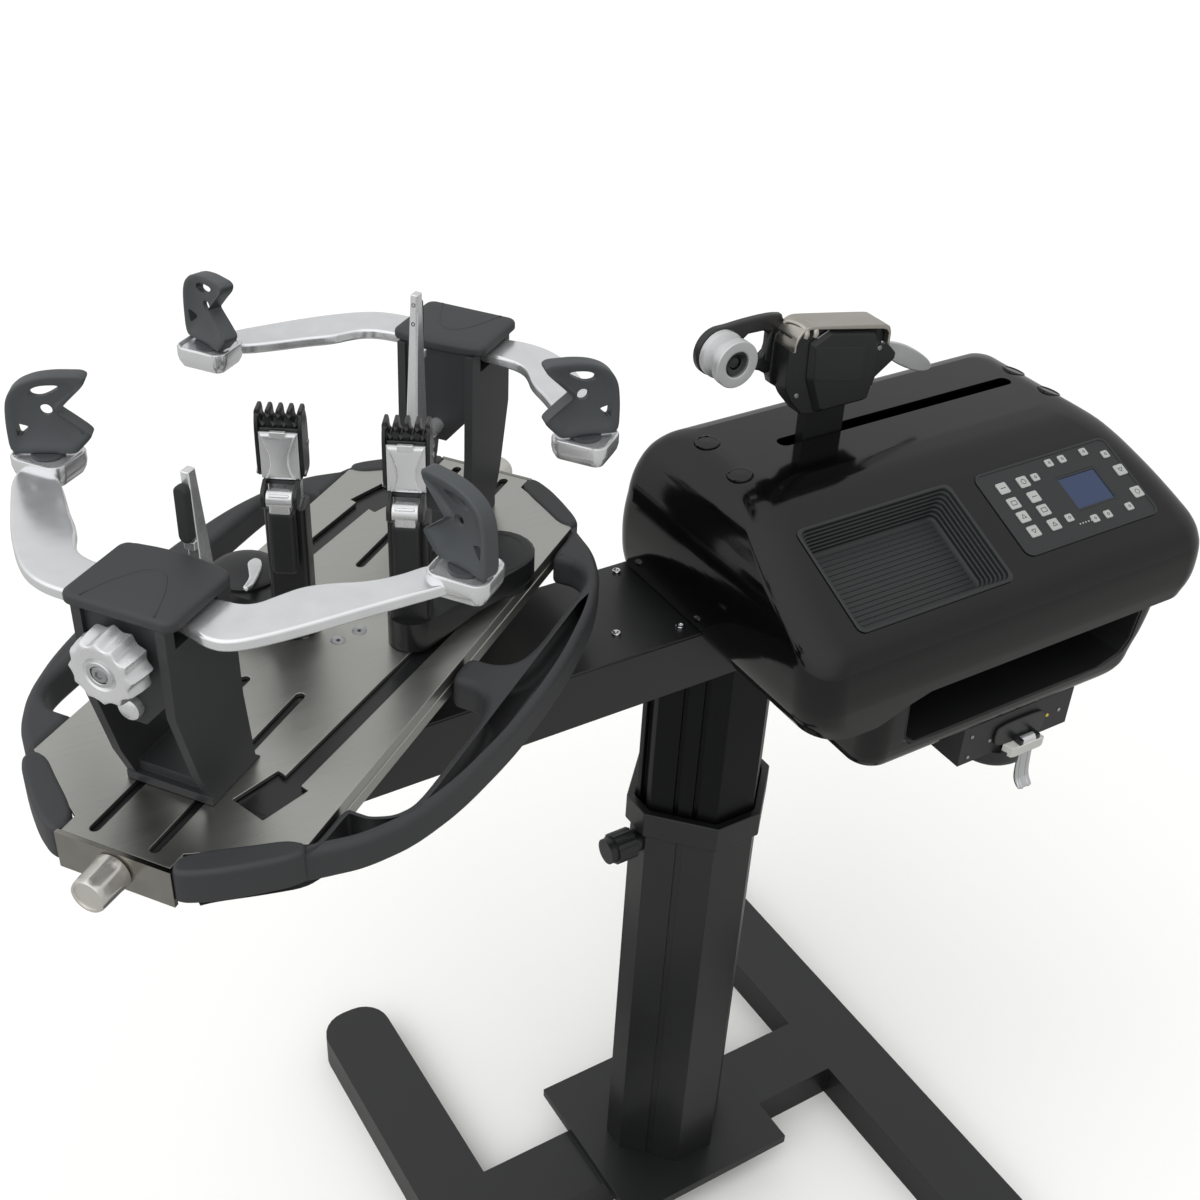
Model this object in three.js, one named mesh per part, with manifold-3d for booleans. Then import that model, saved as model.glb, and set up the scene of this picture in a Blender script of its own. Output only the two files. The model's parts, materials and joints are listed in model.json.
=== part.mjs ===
// Electronic racket stringing machine on a height-adjustable octagonal column.
// Millimetres, +Z up. The origin is on the floor on the column's axis; +X runs from the turntable
// towards the tension head, and the operator stands on the -Y side.
import * as THREE from 'three';
import { mergeVertices } from 'three/addons/utils/BufferGeometryUtils.js';
import Module from 'manifold-3d';

const wasm = await Module();
wasm.setup();

// Clearances and facet counts
const gap = 0.3;
const runningGap = 0.4;
const overrun = 3;
const lap = 1;
const roundSides = 28;
const smallSides = 14;
const arcSteps = 3;
const fineSteps = 6;

// Floor stand
const baseBarWidth = 90;
const baseBarHeight = 50;
const baseWall = 4;
const footSpan = 740;
const footReach = 290;
const footCorner = 38;
const centrePadHalf = 30;
const footplateLength = 240;
const footplateWidth = 220;
const footplateThickness = 12;

// Octagonal column
const columnHalfX = 75;
const columnHalfY = 68;
const columnFlatFront = 24.5;
const columnFlatSide = 14;
const columnWall = 9;
const columnBottom = 225;
const cornerGrowthShare = 0.41;
const grooveWidth = 5;
const grooveDepth = 4;
const grooveShares = [0.33, 0.62];
const sideSlotWidth = 12;
const sideSlotDepth = 5;
const sleeveWall = 3;
const sleeveTop = 640;
const sleeveGrooveWidth = 8;
const sleeveGrooveDepth = 1.5;
const sleeveClearance = 0.5;
const collarProud = 6;
const collarTop = 647;
const collarBottom = 614;

// Height knob
const heightKnobZ = 592;
const heightBossRadius = 13;
const heightBossLength = 8;
const heightShaftRadius = 5;
const heightKnobRadius = 18;
const heightKnobLength = 24;
const heightKnobTipRadius = 14.5;
const heightKnobTipLength = 9;
const knurlDepth = 1;
const knurlCount = 18;

// Head beam
const plateHeight = 1000;
const turntableReach = 421;
const beamOverhang = 90;
const beamRight = 79;
const beamHalfWidth = 70;
const beamTop = -80;
const beamBottom = -145;
const beamWall = 4;
const beamCoverThickness = 2.5;

// Turntable bearing and hub
const bearingRadius = 62;
const bearingTop = -54;
const spindleRadius = 18;
const spindleTop = -21;
const hubRadius = 62;
const hubFlangeRadius = 71.5;
const hubFlangeThickness = 12;

// Turntable plate; its long axis is X in the turntable's own frame
const turntableAngle = 36;
const plateThickness = 4;
const plateHalfLength = 240;
const plateHalfWidth = 122;
const tabShoulder = 287;
const tabReach = 303;
const tabHalfWidth = 47;
const flangeDepth = 24;
const flangeThickness = 2.5;
const railGrooveDepth = 1;
const railGrooveHeight = 3;
const railGrooveDrop = 10;
const towerSlotInner = 95;
const towerSlotOuter = 291;
const towerSlotOffset = 26;
const towerSlotRadius = 4.2;
const clampSlotRadius = 8.5;
const clampSlotStartX = -205;
const clampSlotStartY = -74.5;
const clampSlotEndX = 150;
const clampSlotEndY = -96;
const pocketX = -207;
const pocketY = -69;
const pocketLength = 44;
const pocketWidth = 34;
const pocketTurn = -17;

// Bumper rings round the plate
const bumperTop = -2;
const bumperHeight = 33;
const bumperBevel = 3.5;
const bumperGap = 0.5;
const bumperEndY = 52.6;
const bumperHalfLength = 300;
const bumperHalfWidth = 203;
const bumperBar = 34;
const bumperWeb = 36;
const bumperNotchEnd = 190;
const bumperNotchCorner = 26;
const bumperOutlineShares = [[0.97, 0.33], [0.93, 0.42], [0.865, 0.545], [0.795, 0.655], [0.725, 0.765],
  [0.606, 0.872], [0.437, 0.945], [0.2, 0.99]];

// End plates and their adjusting knobs
const endPlateThickness = 4;
const endPlateHalfWidth = 50;
const endPlateHeight = 34;
const adjusterDrop = 17;
const adjusterShaftRadius = 5;
const adjusterRodRadius = 6;
const adjusterRodInner = 112;
const adjusterKnobRadius = 15.5;
const adjusterKnobLength = 31;
const adjusterRecessRadius = 11.5;
const adjusterRecessDepth = 1.5;

// Mounting towers, in each tower's own frame with +X outwards
const frontTowerReach = 200;
const rearTowerReach = 210;
const frontSupportShift = 15;
const towerHalfWidth = 38;
const cheekThickness = 8;
const towerTop = 178;
const towerDepth = 92;
const towerBack = -28;
const cheekOutlineShares = [[0, 0], [0.065, 0.034], [0.141, 0.393], [0.163, 1], [1, 1], [1, 0.573],
  [0.815, 0.208], [0.652, 0]];
const headFront = -10;
const headBack = 60;
const headShoulderZ = 112;
const headKeelZ = 86;
const headKeelHalfWidth = 9;
const armBayFront = 3;
const armBayBack = 54;
const armBayFloor = 157.5;
const armPivotX = 28;
const armPivotY = 17;
const armPinRadius = 5;
const footFront = -24;
const footBack = 30;
const footHeight = 16;
const toeReach = 36;
const toeHeight = 8;
const keyHalfLength = 20;
const keyHalfWidth = 3.6;
const nutBottom = -28;
const capHeight = 9.5;
const capHalfWidth = 46;
const capInnerX = -9;
const capBulge = 4.5;
const capOuterX = 66;
const capCorner = 12;
const capBevel = 3.5;

// Star knobs
const starKnobZ = 147;
const starKnobRadius = 28.5;
const starKnobLobes = 12;
const starLobeDepth = 3.5;
const starKnobLength = 24;
const starRingRadius = 15;
const starRingLength = 5.6;
const starShaftRadius = 6;
const starShaftInnerX = 34;

// Side arms, as places in the tower's frame
const armTop = 174;
const armThickness = 10;
const armReachY = 182;
const armReachX = 95;
const armEndRadius = 14;
const armOuterShares = [[0.5, 0.26], [0.515, 0.34], [0.495, 0.44], [0.42, 0.54], [0.253, 0.65],
  [0.02, 0.77], [-0.295, 0.905], [-0.6, 1.03], [-0.85, 1.06]];
const armInnerShares = [[-0.85, 0.9], [-0.59, 0.747], [-0.4, 0.65], [-0.232, 0.545], [-0.084, 0.495],
  [0.03, 0.44], [0.085, 0.36], [0.095, 0.25]];
const platformHalfX = 21.5;
const platformHalfY = 25;
const platformCorner = 11;
const platformFloor = 172;
const platformBottom = 160;
const rimWidth = 3;
const rimTop = 176.5;

// Frame holders on the arms
const holderFootRadius = 17;
const holderFootHeight = 5.7;
const holderReach = 69;
const holderHeight = 71;
const holderThickness = 14;
const holderPivotX = 29;
const holderOutlineShares = [[0, 0], [0, 0.37], [0.03, 0.64], [0.1, 0.79], [0.23, 0.9], [0.41, 0.97],
  [0.62, 1], [0.93, 1], [0.99, 0.94], [0.95, 0.86], [0.63, 0.55], [0.97, 0.26], [0.91, 0.15], [0.76, 0]];
const holderWindowShares = [[0.35, 0.79], [0.46, 0.85], [0.66, 0.85], [0.6, 0.77], [0.4, 0.75]];
const holderCornerShares = [[0.11, 0.36], [0.2, 0.33], [0.12, 0.25]];
const holderHoleRadius = 4;
const holderHoleXShare = 0.5;
const holderHoleZShare = 0.53;
const frontLeftToe = 26.6;
const frontRightToe = 18;
const rearLeftToe = 22;
const rearRightToe = 40.5;

// Centre supports
const supportShaftZ = 101;
const supportShaftRadius = 7;
const supportShaftEndX = 78;
const supportBladeOuterX = -40;
const supportBladeTopDepth = 9.5;
const supportBladeFootDepth = 22;
const supportTopZ = 245;
const supportTopWidth = 7;
const supportFootWidth = 13;
const supportBossRadius = 14;
const supportBossLength = 14;
const padLength = 48;
const padWidth = 15;
const padThickness = 11;
const padBottomZ = 190.4;
const padLedgeHeight = 7;
const padLedgeWidth = 9;
const padLedgeReach = 4;

// String clamps
const drumRadius = 34;
const drumBaseHeight = 8;
const drumTop = 29;
const drumSpindleRadius = 12;
const shoeRadius = 8;
const shoeFlangeRadius = 15;
const shoeBottom = -13;
const clampSkirtZ = 1;
const clampHeelRadius = 21;
const rightDrumX = 132;
const rightPostX = 15;
const rightPostY = -71;
const leftDrumX = 3;
const leftPostX = -12;
const leftPostY = 28;
const combAngle = -69;
const postHalfWidth = 17;
const postHalfDepth = 13;
const postCorner = 4;
const postTop = 124.7;
const stemHalfWidth = 13;
const stemHalfDepth = 8;
const stemBottom = 75;
const postBoreBottom = 48;
const jawBottom = 152;
const neckSink = 3;
const jawTop = 200;
const jawHalfWidth = 19;
const jawHalfDepth = 12;
const toothTop = 213;
const toothCount = 5;
const toothWidth = 4;
const toothDepth = 7;
const leverZ = 141;
const leverY = -22;
const leverBarrelRadius = 7;
const leverBarrelHalf = 11;
const leverEarThickness = 3.5;
const gripHalfWidth = 11;
const gripThickness = 14;
const gripBottom = 70;
const gripTop = 136;
const gripCorner = 5;

// Tension head housing
const housingLeft = -77;
const housingRight = 429;
const housingFront = -254;
const housingBack = 88;
const housingBottom = -98;
const housingTop = 61;
const housingWall = 3;
const housingProfileShares = [[0.985, 0], [1, 0.2], [1, 0.74], [0.988, 0.896], [0.947, 1], [0.523, 1],
  [0.4, 0.9243], [0.061, 0.5977], [0.012, 0.4657], [0, 0.258], [0.015, 0]];
const housingElevationShares = [[0.03, 0], [0, 0.2], [0, 0.4657], [0.022, 0.718], [0.065, 0.9258],
  [0.12, 1], [0.91, 1], [0.96, 0.9035], [0.99, 0.7031], [1, 0.4434], [0.992, 0.25], [0.96, 0.12]];
const housingCorner = 36;
const skirtHeight = 23;
const skirtRight = 2;
const skirtSlope = 12;
const slotLeft = 53;
const slotRight = 361;
const slotHalfWidth = 8;

// Lower shell and deck of the tension head
const deckTop = -57.3;
const deckThickness = 4.7;
const bowlLeft = 2;
const bowlRight = 378;
const bowlFront = -246;
const bowlBack = 78;
const bowlBottom = -165;
const bowlWall = 4;
const bowlCorner = 24;
const bowlProfileShares = [[1, 1], [1, 0.14], [0.944, 0], [0.07, 0], [0.016, 0.1], [0, 0.3], [0, 1]];
const bowlElevationShares = [[0, 1], [0, 0.17], [0.012, 0.05], [0.04, 0], [0.86, 0], [0.905, 0.065],
  [0.942, 0.14], [0.952, 0.33], [0.975, 0.5], [0.994, 0.75], [1, 1]];
const mouthLeft = 38;
const mouthRight = 346;
const mouthBottom = -141;
const mouthTop = -68;
const mouthCutDepth = 20;
const mouthShares = [[0, 1], [0.01, 0.14], [0.05, 0], [0.855, 0], [0.952, 0.137], [0.985, 0.33], [1, 0.77],
  [1, 1]];
const binBack = -100;
const binWall = 3;

// Tray, keypad and display on the sloping front
const trayLeft = -17;
const trayRight = 168;
const trayTop = -4;
const trayLength = 116;
const trayDepth = 30;
const trayWall = 2;
const trayRimProud = 0.8;
const trayCorner = 8;
const trayFloorInset = 14;
const keypadLeft = 199;
const keypadRight = 378;
const keypadTop = -5;
const keypadBottom = -104;
const keypadCorner = 9;
const keypadThickness = 2.5;
const keypadProud = 0.6;
const membraneThickness = 1.2;
const keyRise = 0.7;
const keyCorner = 1.5;
const bigKeySize = 10.5;
const smallKeySize = 7.5;
const bigKeyShares = [[0.134, 0.22], [0.134, 0.41], [0.134, 0.58], [0.134, 0.76], [0.285, 0.22],
  [0.285, 0.41], [0.285, 0.58], [0.285, 0.76], [0.95, 0.42], [0.95, 0.71]];
const smallKeyShares = [[0.38, 0.21], [0.405, 0.745], [0.53, 0.105], [0.63, 0.105], [0.8, 0.1], [0.93, 0.2],
  [0.56, 0.84], [0.66, 0.84], [0.83, 0.835]];
const displayLeft = 288;
const displayRight = 343;
const displayTop = -33;
const displayBottom = -75;
const displayThickness = 1.6;
const displayCorner = 1.9;

// Carriage drive
const railLeft = 40;
const railRight = 352;
const railHalfWidth = 20;
const railTop = -30;
const railBottom = -50;
const bedLegLength = 30;
const bedLegX = 260;
const bracketThickness = 6;
const bracketHalfWidth = 26;
const leftBracketTop = 14;
const rightBracketTop = 30;
const screwRadius = 7;
const screwLeft = 38;
const motorRadius = 27;
const motorLength = 42;
const motorNoseRadius = 12;
const motorNoseLength = 4;
const carriageLeft = 78;
const carriageRight = 127;
const carriageHalfWidth = 30;
const carriageTop = 22;
const carriageSkirt = 14;
const neckHalfWidth = 6;

// Gripper and diablo
const gripperHalfWidth = 18;
const gripperLeft = 38;
const gripperRight = 157;
const gripperBottom = 93;
const gripperTop = 187;
const gripperShares = [[0, 0.33], [0.08, 0.2], [0.24, 0], [0.9, 0], [0.965, 0.14], [1, 0.3], [1, 0.8],
  [0.96, 0.83], [0.2, 1], [0.05, 1], [0, 0.93]];
const gripperBevel = 3;
const gripperCapHalfWidth = 19.5;
const gripperCapLeft = 50;
const gripperCapRight = 166;
const gripperCapBottom = 153.5;
const gripperCapTop = 192;
const gripperCapShares = [[0, 0.878], [0, 0.935], [0.034, 0.987], [0.12, 1], [0.793, 0.642], [0.922, 0.566],
  [0.983, 0.429], [1, 0.247], [0.996, 0], [0.961, 0], [0.961, 0.273], [0.931, 0.4], [0.879, 0.465],
  [0.103, 0.878]];
const diabloX = -23;
const diabloZ = 171;
const diabloRadius = 23;
const diabloWaist = 15;
const diabloFront = -20;
const diabloBack = 9.6;
const diabloRim = 8;
const diabloPinRadius = 6;
const diabloPinFront = -16;
const diabloArmFront = 10;
const diabloArmBack = 19;
const diabloArmRadius = 24;
const diabloArmTopZ = 197;
const diabloArmLowZ = 134;
const diabloArmShares = [[0, 0.21], [0.34, 0.19], [0.8, 0.11], [1, 0], [1, 1], [0.46, 0.985], [0, 0.96]];
const diabloWindowShares = [[0.43, 0.38], [0.82, 0.33], [0.92, 0.42], [0.92, 0.76], [0.43, 0.76]];
const toggleX = 165;
const toggleZ = 144;
const toggleRadius = 5;
const toggleHalfWidth = 8.5;
const toggleEarThickness = 4;
const toggleEarLeft = 148;
const toggleEarRight = 177;
const toggleEarBottom = 113;
const toggleEarTop = 152;
const toggleEarShares = [[0, 0], [0.97, 0.5], [1, 0.64], [0.5, 1], [0, 1]];
const toggleBladeLength = 86;
const toggleBladeThickness = 4;
const toggleBladeHalfWidth = 8.5;
const toggleBladeShares = [[0, -0.45], [0.16, -0.6], [0.42, -0.95], [0.7, -1], [0.9, -0.6], [1, -0.1],
  [0.97, 0.3], [0.82, 0.7], [0.5, 1], [0.3, 0.9], [0.14, 0.6], [0, 0.45]];
const toggleSlope = 29;

// Latch under the head
const latchLeft = 138;
const latchRight = 288;
const latchFront = -235;
const latchBack = -172;
const latchBottom = -212;
const latchDrumX = 214;
const latchDrumRadius = 32;
const latchDrumInset = 25;
const latchDrumBottom = -232;
const latchEarGap = 0.3;
const latchLeverX = 223;
const latchLeverY = -243;
const latchLeverZ = -203;
const latchBarrelRadius = 5;
const latchBarrelHalf = 9;
const latchEarThickness = 4;
const latchTongueLength = 52;
const latchTongueThickness = 4;
const latchTongueHook = 9;

// Materials
const steelPlate = new THREE.MeshStandardMaterial({ color: '#b0b0ab', roughness: 0.38, metalness: 1 });
const polished = new THREE.MeshStandardMaterial({ color: '#e2e3e6', roughness: 0.14, metalness: 1 });
const castSilver = new THREE.MeshStandardMaterial({ color: '#c9cacd', roughness: 0.42, metalness: 1 });
const nickel = new THREE.MeshStandardMaterial({ color: '#8d8679', roughness: 0.34, metalness: 1 });
const greyPlastic = new THREE.MeshStandardMaterial({ color: '#444547', roughness: 0.62, metalness: 0 });
const gloss = new THREE.MeshStandardMaterial({ color: '#0d0e0f', roughness: 0.08, metalness: 0 });
const satinBlack = new THREE.MeshStandardMaterial({ color: '#191a1a', roughness: 0.45, metalness: 0.2 });
const panelGrey = new THREE.MeshStandardMaterial({ color: '#1e2021', roughness: 0.55, metalness: 0 });
const keyGrey = new THREE.MeshStandardMaterial({ color: '#b9bbb9', roughness: 0.5, metalness: 0 });
const displayBlue = new THREE.MeshStandardMaterial({ color: '#3d4f73', roughness: 0.25, metalness: 0 });
const padRubber = new THREE.MeshStandardMaterial({ color: '#2b2c2d', roughness: 0.8, metalness: 0 });

// Solid helpers
const radians = THREE.MathUtils.degToRad;

function solid(geometry) {
  const bare = geometry.index ? geometry.clone() : geometry;
  bare.deleteAttribute('normal');
  bare.deleteAttribute('uv');
  const merged = mergeVertices(bare);
  const vertProperties = new Float32Array(merged.attributes.position.array);
  const triVerts = new Uint32Array(merged.index.array);
  const made = new wasm.Manifold(new wasm.Mesh({ numProp: 3, vertProperties, triVerts }));
  if (made.volume() > 0) return made;
  for (let i = 0; i < triVerts.length; i += 3) {
    [triVerts[i], triVerts[i + 1]] = [triVerts[i + 1], triVerts[i]];
  }
  return new wasm.Manifold(new wasm.Mesh({ numProp: 3, vertProperties, triVerts }));
}

function join(...solids) {
  return solids.reduce((whole, next) => whole.add(next));
}

function cut(body, ...tools) {
  return tools.reduce((whole, next) => whole.subtract(next), body);
}

function mesh(name, body, material) {
  const { vertProperties, triVerts } = body.getMesh();
  const geometry = new THREE.BufferGeometry();
  geometry.setAttribute('position', new THREE.BufferAttribute(vertProperties, 3));
  geometry.setIndex(new THREE.BufferAttribute(triVerts, 1));
  geometry.computeVertexNormals();
  const made = new THREE.Mesh(geometry, material);
  made.name = name;
  return made;
}

function outline(points) {
  return new THREE.Shape(points.map(([x, y]) => new THREE.Vector2(x, y)));
}

// An outline in shares of a box from (x0, y0) to (x1, y1)
function scaled(shares, x0, x1, y0, y1) {
  return shares.map(([sx, sy]) => [x0 + sx * (x1 - x0), y0 + sy * (y1 - y0)]);
}

function roundRect(x0, x1, y0, y1, radius) {
  const shape = new THREE.Shape();
  shape.moveTo(x0 + radius, y0);
  shape.lineTo(x1 - radius, y0);
  shape.absarc(x1 - radius, y0 + radius, radius, -Math.PI / 2, 0);
  shape.lineTo(x1, y1 - radius);
  shape.absarc(x1 - radius, y1 - radius, radius, 0, Math.PI / 2);
  shape.lineTo(x0 + radius, y1);
  shape.absarc(x0 + radius, y1 - radius, radius, Math.PI / 2, Math.PI);
  shape.lineTo(x0, y0 + radius);
  shape.absarc(x0 + radius, y0 + radius, radius, Math.PI, Math.PI * 1.5);
  return shape;
}

// The hull of two circles, such as a slot or a tapered link
function linkShape(x0, y0, r0, x1, y1, r1) {
  const along = Math.atan2(y1 - y0, x1 - x0);
  const spread = Math.acos((r0 - r1) / Math.hypot(x1 - x0, y1 - y0));
  const shape = new THREE.Shape();
  shape.absarc(x0, y0, r0, along + spread, along - spread + Math.PI * 2);
  shape.absarc(x1, y1, r1, along - spread, along + spread);
  return shape;
}

function lobed(radius, depth, lobes, stepsPerLobe) {
  const count = lobes * stepsPerLobe;
  const points = Array.from({ length: count }, (_, i) => {
    const turn = (i / count) * Math.PI * 2;
    const r = radius - depth * (1 - Math.cos(lobes * turn)) / 2;
    return [r * Math.cos(turn), r * Math.sin(turn)];
  });
  return outline(points);
}

function extruded(shape, length, steps = arcSteps) {
  return new THREE.ExtrudeGeometry(shape, { depth: length, bevelEnabled: false, curveSegments: steps });
}

function slabZ(shape, z0, z1, steps) {
  return solid(extruded(shape, z1 - z0, steps).translate(0, 0, z0));
}

// An outline in (y, z) run along X
function slabX(shape, x0, x1, steps) {
  const turn = new THREE.Matrix4().makeBasis(
    new THREE.Vector3(0, 1, 0), new THREE.Vector3(0, 0, 1), new THREE.Vector3(1, 0, 0));
  return solid(extruded(shape, x1 - x0, steps).applyMatrix4(turn).translate(x0, 0, 0));
}

// An outline in (x, z) run along Y
function slabY(shape, y0, y1, steps) {
  return solid(extruded(shape, y1 - y0, steps).rotateX(Math.PI / 2).translate(0, y1, 0));
}

function block(x0, x1, y0, y1, z0, z1) {
  const geometry = new THREE.BoxGeometry(x1 - x0, y1 - y0, z1 - z0);
  return solid(geometry.translate((x0 + x1) / 2, (y0 + y1) / 2, (z0 + z1) / 2));
}

function rodZ(x, y, radius, z0, z1, sides = roundSides) {
  const geometry = new THREE.CylinderGeometry(radius, radius, z1 - z0, sides);
  return solid(geometry.rotateX(Math.PI / 2).translate(x, y, (z0 + z1) / 2));
}

function rodX(y, z, radius, x0, x1, sides = roundSides) {
  const geometry = new THREE.CylinderGeometry(radius, radius, x1 - x0, sides);
  return solid(geometry.rotateZ(Math.PI / 2).translate((x0 + x1) / 2, y, z));
}

function rodY(x, z, radius, y0, y1, sides = roundSides) {
  const geometry = new THREE.CylinderGeometry(radius, radius, y1 - y0, sides);
  return solid(geometry.translate(x, (y0 + y1) / 2, z));
}

// A slab with rounded edges: its outline shrinks by the bevel at the top and the bottom
function pillow(shape, z0, z1, bevel, steps = arcSteps, bevelSegments = 2) {
  const geometry = new THREE.ExtrudeGeometry(shape, {
    depth: z1 - z0 - bevel * 2, bevelEnabled: true, bevelThickness: bevel, bevelSize: bevel,
    bevelOffset: -bevel, bevelSegments, curveSegments: steps });
  return geometry.translate(0, 0, z0 + bevel);
}

// Floor stand: bars hollow from below, round a solid pad under the column
function baseFrame() {
  const roof = baseBarHeight - baseWall;
  const half = baseBarWidth / 2;
  const spine = block(-footReach, footReach, -half, half, 0, baseBarHeight);
  const channels = [-1, 1].map((side) => block(Math.min(side * centrePadHalf, side * footReach),
    Math.max(side * centrePadHalf, side * footReach), -half + baseWall, half - baseWall, -overrun, roof));
  const foot = (x, inset, z0, z1) => slabZ(roundRect(x - half + inset, x + half - inset,
    -footSpan / 2 + inset, footSpan / 2 - inset, footCorner - inset), z0, z1);
  const feet = [-footReach, footReach].map((x) => foot(x, 0, 0, baseBarHeight));
  const pockets = [-footReach, footReach].map((x) => foot(x, baseWall, -overrun, roof));
  const footplate = block(-footplateLength / 2, footplateLength / 2, -footplateWidth / 2,
    footplateWidth / 2, baseBarHeight - lap, baseBarHeight + footplateThickness);
  return mesh('base_frame', cut(join(spine, ...feet, footplate), ...channels, ...pockets), satinBlack);
}

// The column's section, grown outwards by an offset
function octagon(offset) {
  const x = columnHalfX + offset;
  const y = columnHalfY + offset;
  const front = columnFlatFront + offset * cornerGrowthShare;
  const side = columnFlatSide + offset * cornerGrowthShare;
  return outline([[front, -y], [x, -side], [x, side], [front, y], [-front, y], [-x, side], [-x, -side],
    [-front, -y]]);
}

// Grooves at shares of the way along each slanting face
function facetGrooves(offset, shares, width, depth, z0, z1) {
  const start = new THREE.Vector2(columnFlatFront, columnHalfY + offset);
  const end = new THREE.Vector2(columnHalfX + offset, columnFlatSide);
  const tools = [];
  for (const sx of [-1, 1]) {
    for (const sy of [-1, 1]) {
      for (const share of shares) {
        const at = start.clone().lerp(end, share);
        const turn = Math.atan2((end.y - start.y) * sy, (end.x - start.x) * sx);
        const tool = new THREE.BoxGeometry(width, depth * 2, z1 - z0 + overrun * 2);
        tools.push(solid(tool.rotateZ(turn).translate(at.x * sx, at.y * sy, (z0 + z1) / 2)));
      }
    }
  }
  return tools;
}

function columnUpper() {
  const top = beamBottom - gap;
  const bottom = columnBottom - plateHeight;
  const body = slabZ(octagon(0), bottom, top);
  const bore = slabZ(octagon(-columnWall), bottom - overrun, top + overrun);
  const sideSlots = [-1, 1].map((side) => {
    const outer = side * (columnHalfX + overrun);
    const inner = side * (columnHalfX - sideSlotDepth);
    return block(Math.min(outer, inner), Math.max(outer, inner), -sideSlotWidth / 2, sideSlotWidth / 2,
      bottom - overrun, top + overrun);
  });
  const grooves = facetGrooves(0, grooveShares, grooveWidth, grooveDepth, bottom, top);
  return mesh('column_upper', cut(body, bore, ...sideSlots, ...grooves), satinBlack);
}

const sleeveOffset = sleeveClearance + sleeveWall;
const sleeveBottom = baseBarHeight + footplateThickness + gap;

function columnLower() {
  const face = columnHalfX + sleeveOffset;
  const boss = rodX(0, heightKnobZ, heightBossRadius, -face - heightBossLength, -face + lap, smallSides);
  const body = join(slabZ(octagon(sleeveOffset), sleeveBottom, sleeveTop), boss);
  const bore = slabZ(octagon(sleeveClearance), sleeveBottom - overrun, sleeveTop + overrun);
  const hole = rodX(0, heightKnobZ, heightShaftRadius + runningGap, -face - heightBossLength - overrun,
    -columnHalfX + overrun, smallSides);
  const grooves = facetGrooves(sleeveOffset, [0.5], sleeveGrooveWidth, sleeveGrooveDepth, sleeveBottom,
    sleeveTop);
  return mesh('column_lower', cut(body, bore, hole, ...grooves), satinBlack);
}

function columnCollar() {
  const body = slabZ(octagon(sleeveOffset + collarProud), collarBottom, collarTop);
  const seat = slabZ(octagon(sleeveOffset + gap), collarBottom - overrun, sleeveTop + gap);
  const mouth = slabZ(octagon(sleeveClearance), sleeveTop, collarTop + overrun);
  return mesh('column_collar', cut(body, seat, mouth), satinBlack);
}

function heightKnob() {
  const face = columnHalfX + sleeveOffset + heightBossLength + gap;
  const grip = solid(extruded(lobed(heightKnobRadius, knurlDepth, knurlCount, 2), heightKnobLength));
  const tip = rodZ(0, 0, heightKnobTipRadius, heightKnobLength - lap,
    heightKnobLength + heightKnobTipLength);
  const shaft = rodZ(0, 0, heightShaftRadius, columnHalfX + gap - face, lap, smallSides);
  const knob = mesh('height_knob', join(grip, tip, shaft), greyPlastic);
  knob.rotation.y = -Math.PI / 2;
  knob.position.set(-face, 0, heightKnobZ);
  return knob;
}

// Head beam
const beamLeft = -turntableReach - beamOverhang;
const beamCoverBottom = beamTop - beamCoverThickness;

function supportBeam() {
  const top = beamCoverBottom - gap;
  const body = block(beamLeft, beamRight, -beamHalfWidth, beamHalfWidth, beamBottom, top);
  const inside = block(beamLeft + beamWall, beamRight - beamWall, -beamHalfWidth + beamWall,
    beamHalfWidth - beamWall, beamBottom + beamWall, top + overrun);
  return mesh('support_beam', cut(body, inside), satinBlack);
}

function beamCover() {
  const body = block(beamLeft, beamRight, -beamHalfWidth, beamHalfWidth, beamCoverBottom, beamTop);
  return mesh('beam_cover', body, satinBlack);
}

function lathe(points, sides = roundSides) {
  const profile = points.map(([r, z]) => new THREE.Vector2(r, z));
  return new THREE.LatheGeometry(profile, sides).rotateX(Math.PI / 2);
}

function turntableBearing() {
  const bottom = beamTop + gap;
  const body = lathe([[0, bottom], [bearingRadius, bottom], [bearingRadius, bearingTop],
    [spindleRadius, bearingTop], [spindleRadius, spindleTop], [0, spindleTop]]);
  const bearing = mesh('turntable_bearing', solid(body), castSilver);
  bearing.position.x = -turntableReach;
  return bearing;
}

function turntableHub() {
  const top = -plateThickness - gap;
  const bottom = bearingTop + gap;
  const bore = spindleRadius + runningGap;
  const roof = spindleTop + gap;
  const body = lathe([[0, roof], [bore, roof], [bore, bottom], [hubRadius, bottom],
    [hubRadius, top - hubFlangeThickness], [hubFlangeRadius, top - hubFlangeThickness],
    [hubFlangeRadius, top], [0, top]]);
  return mesh('turntable_hub', solid(body), castSilver);
}

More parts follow.
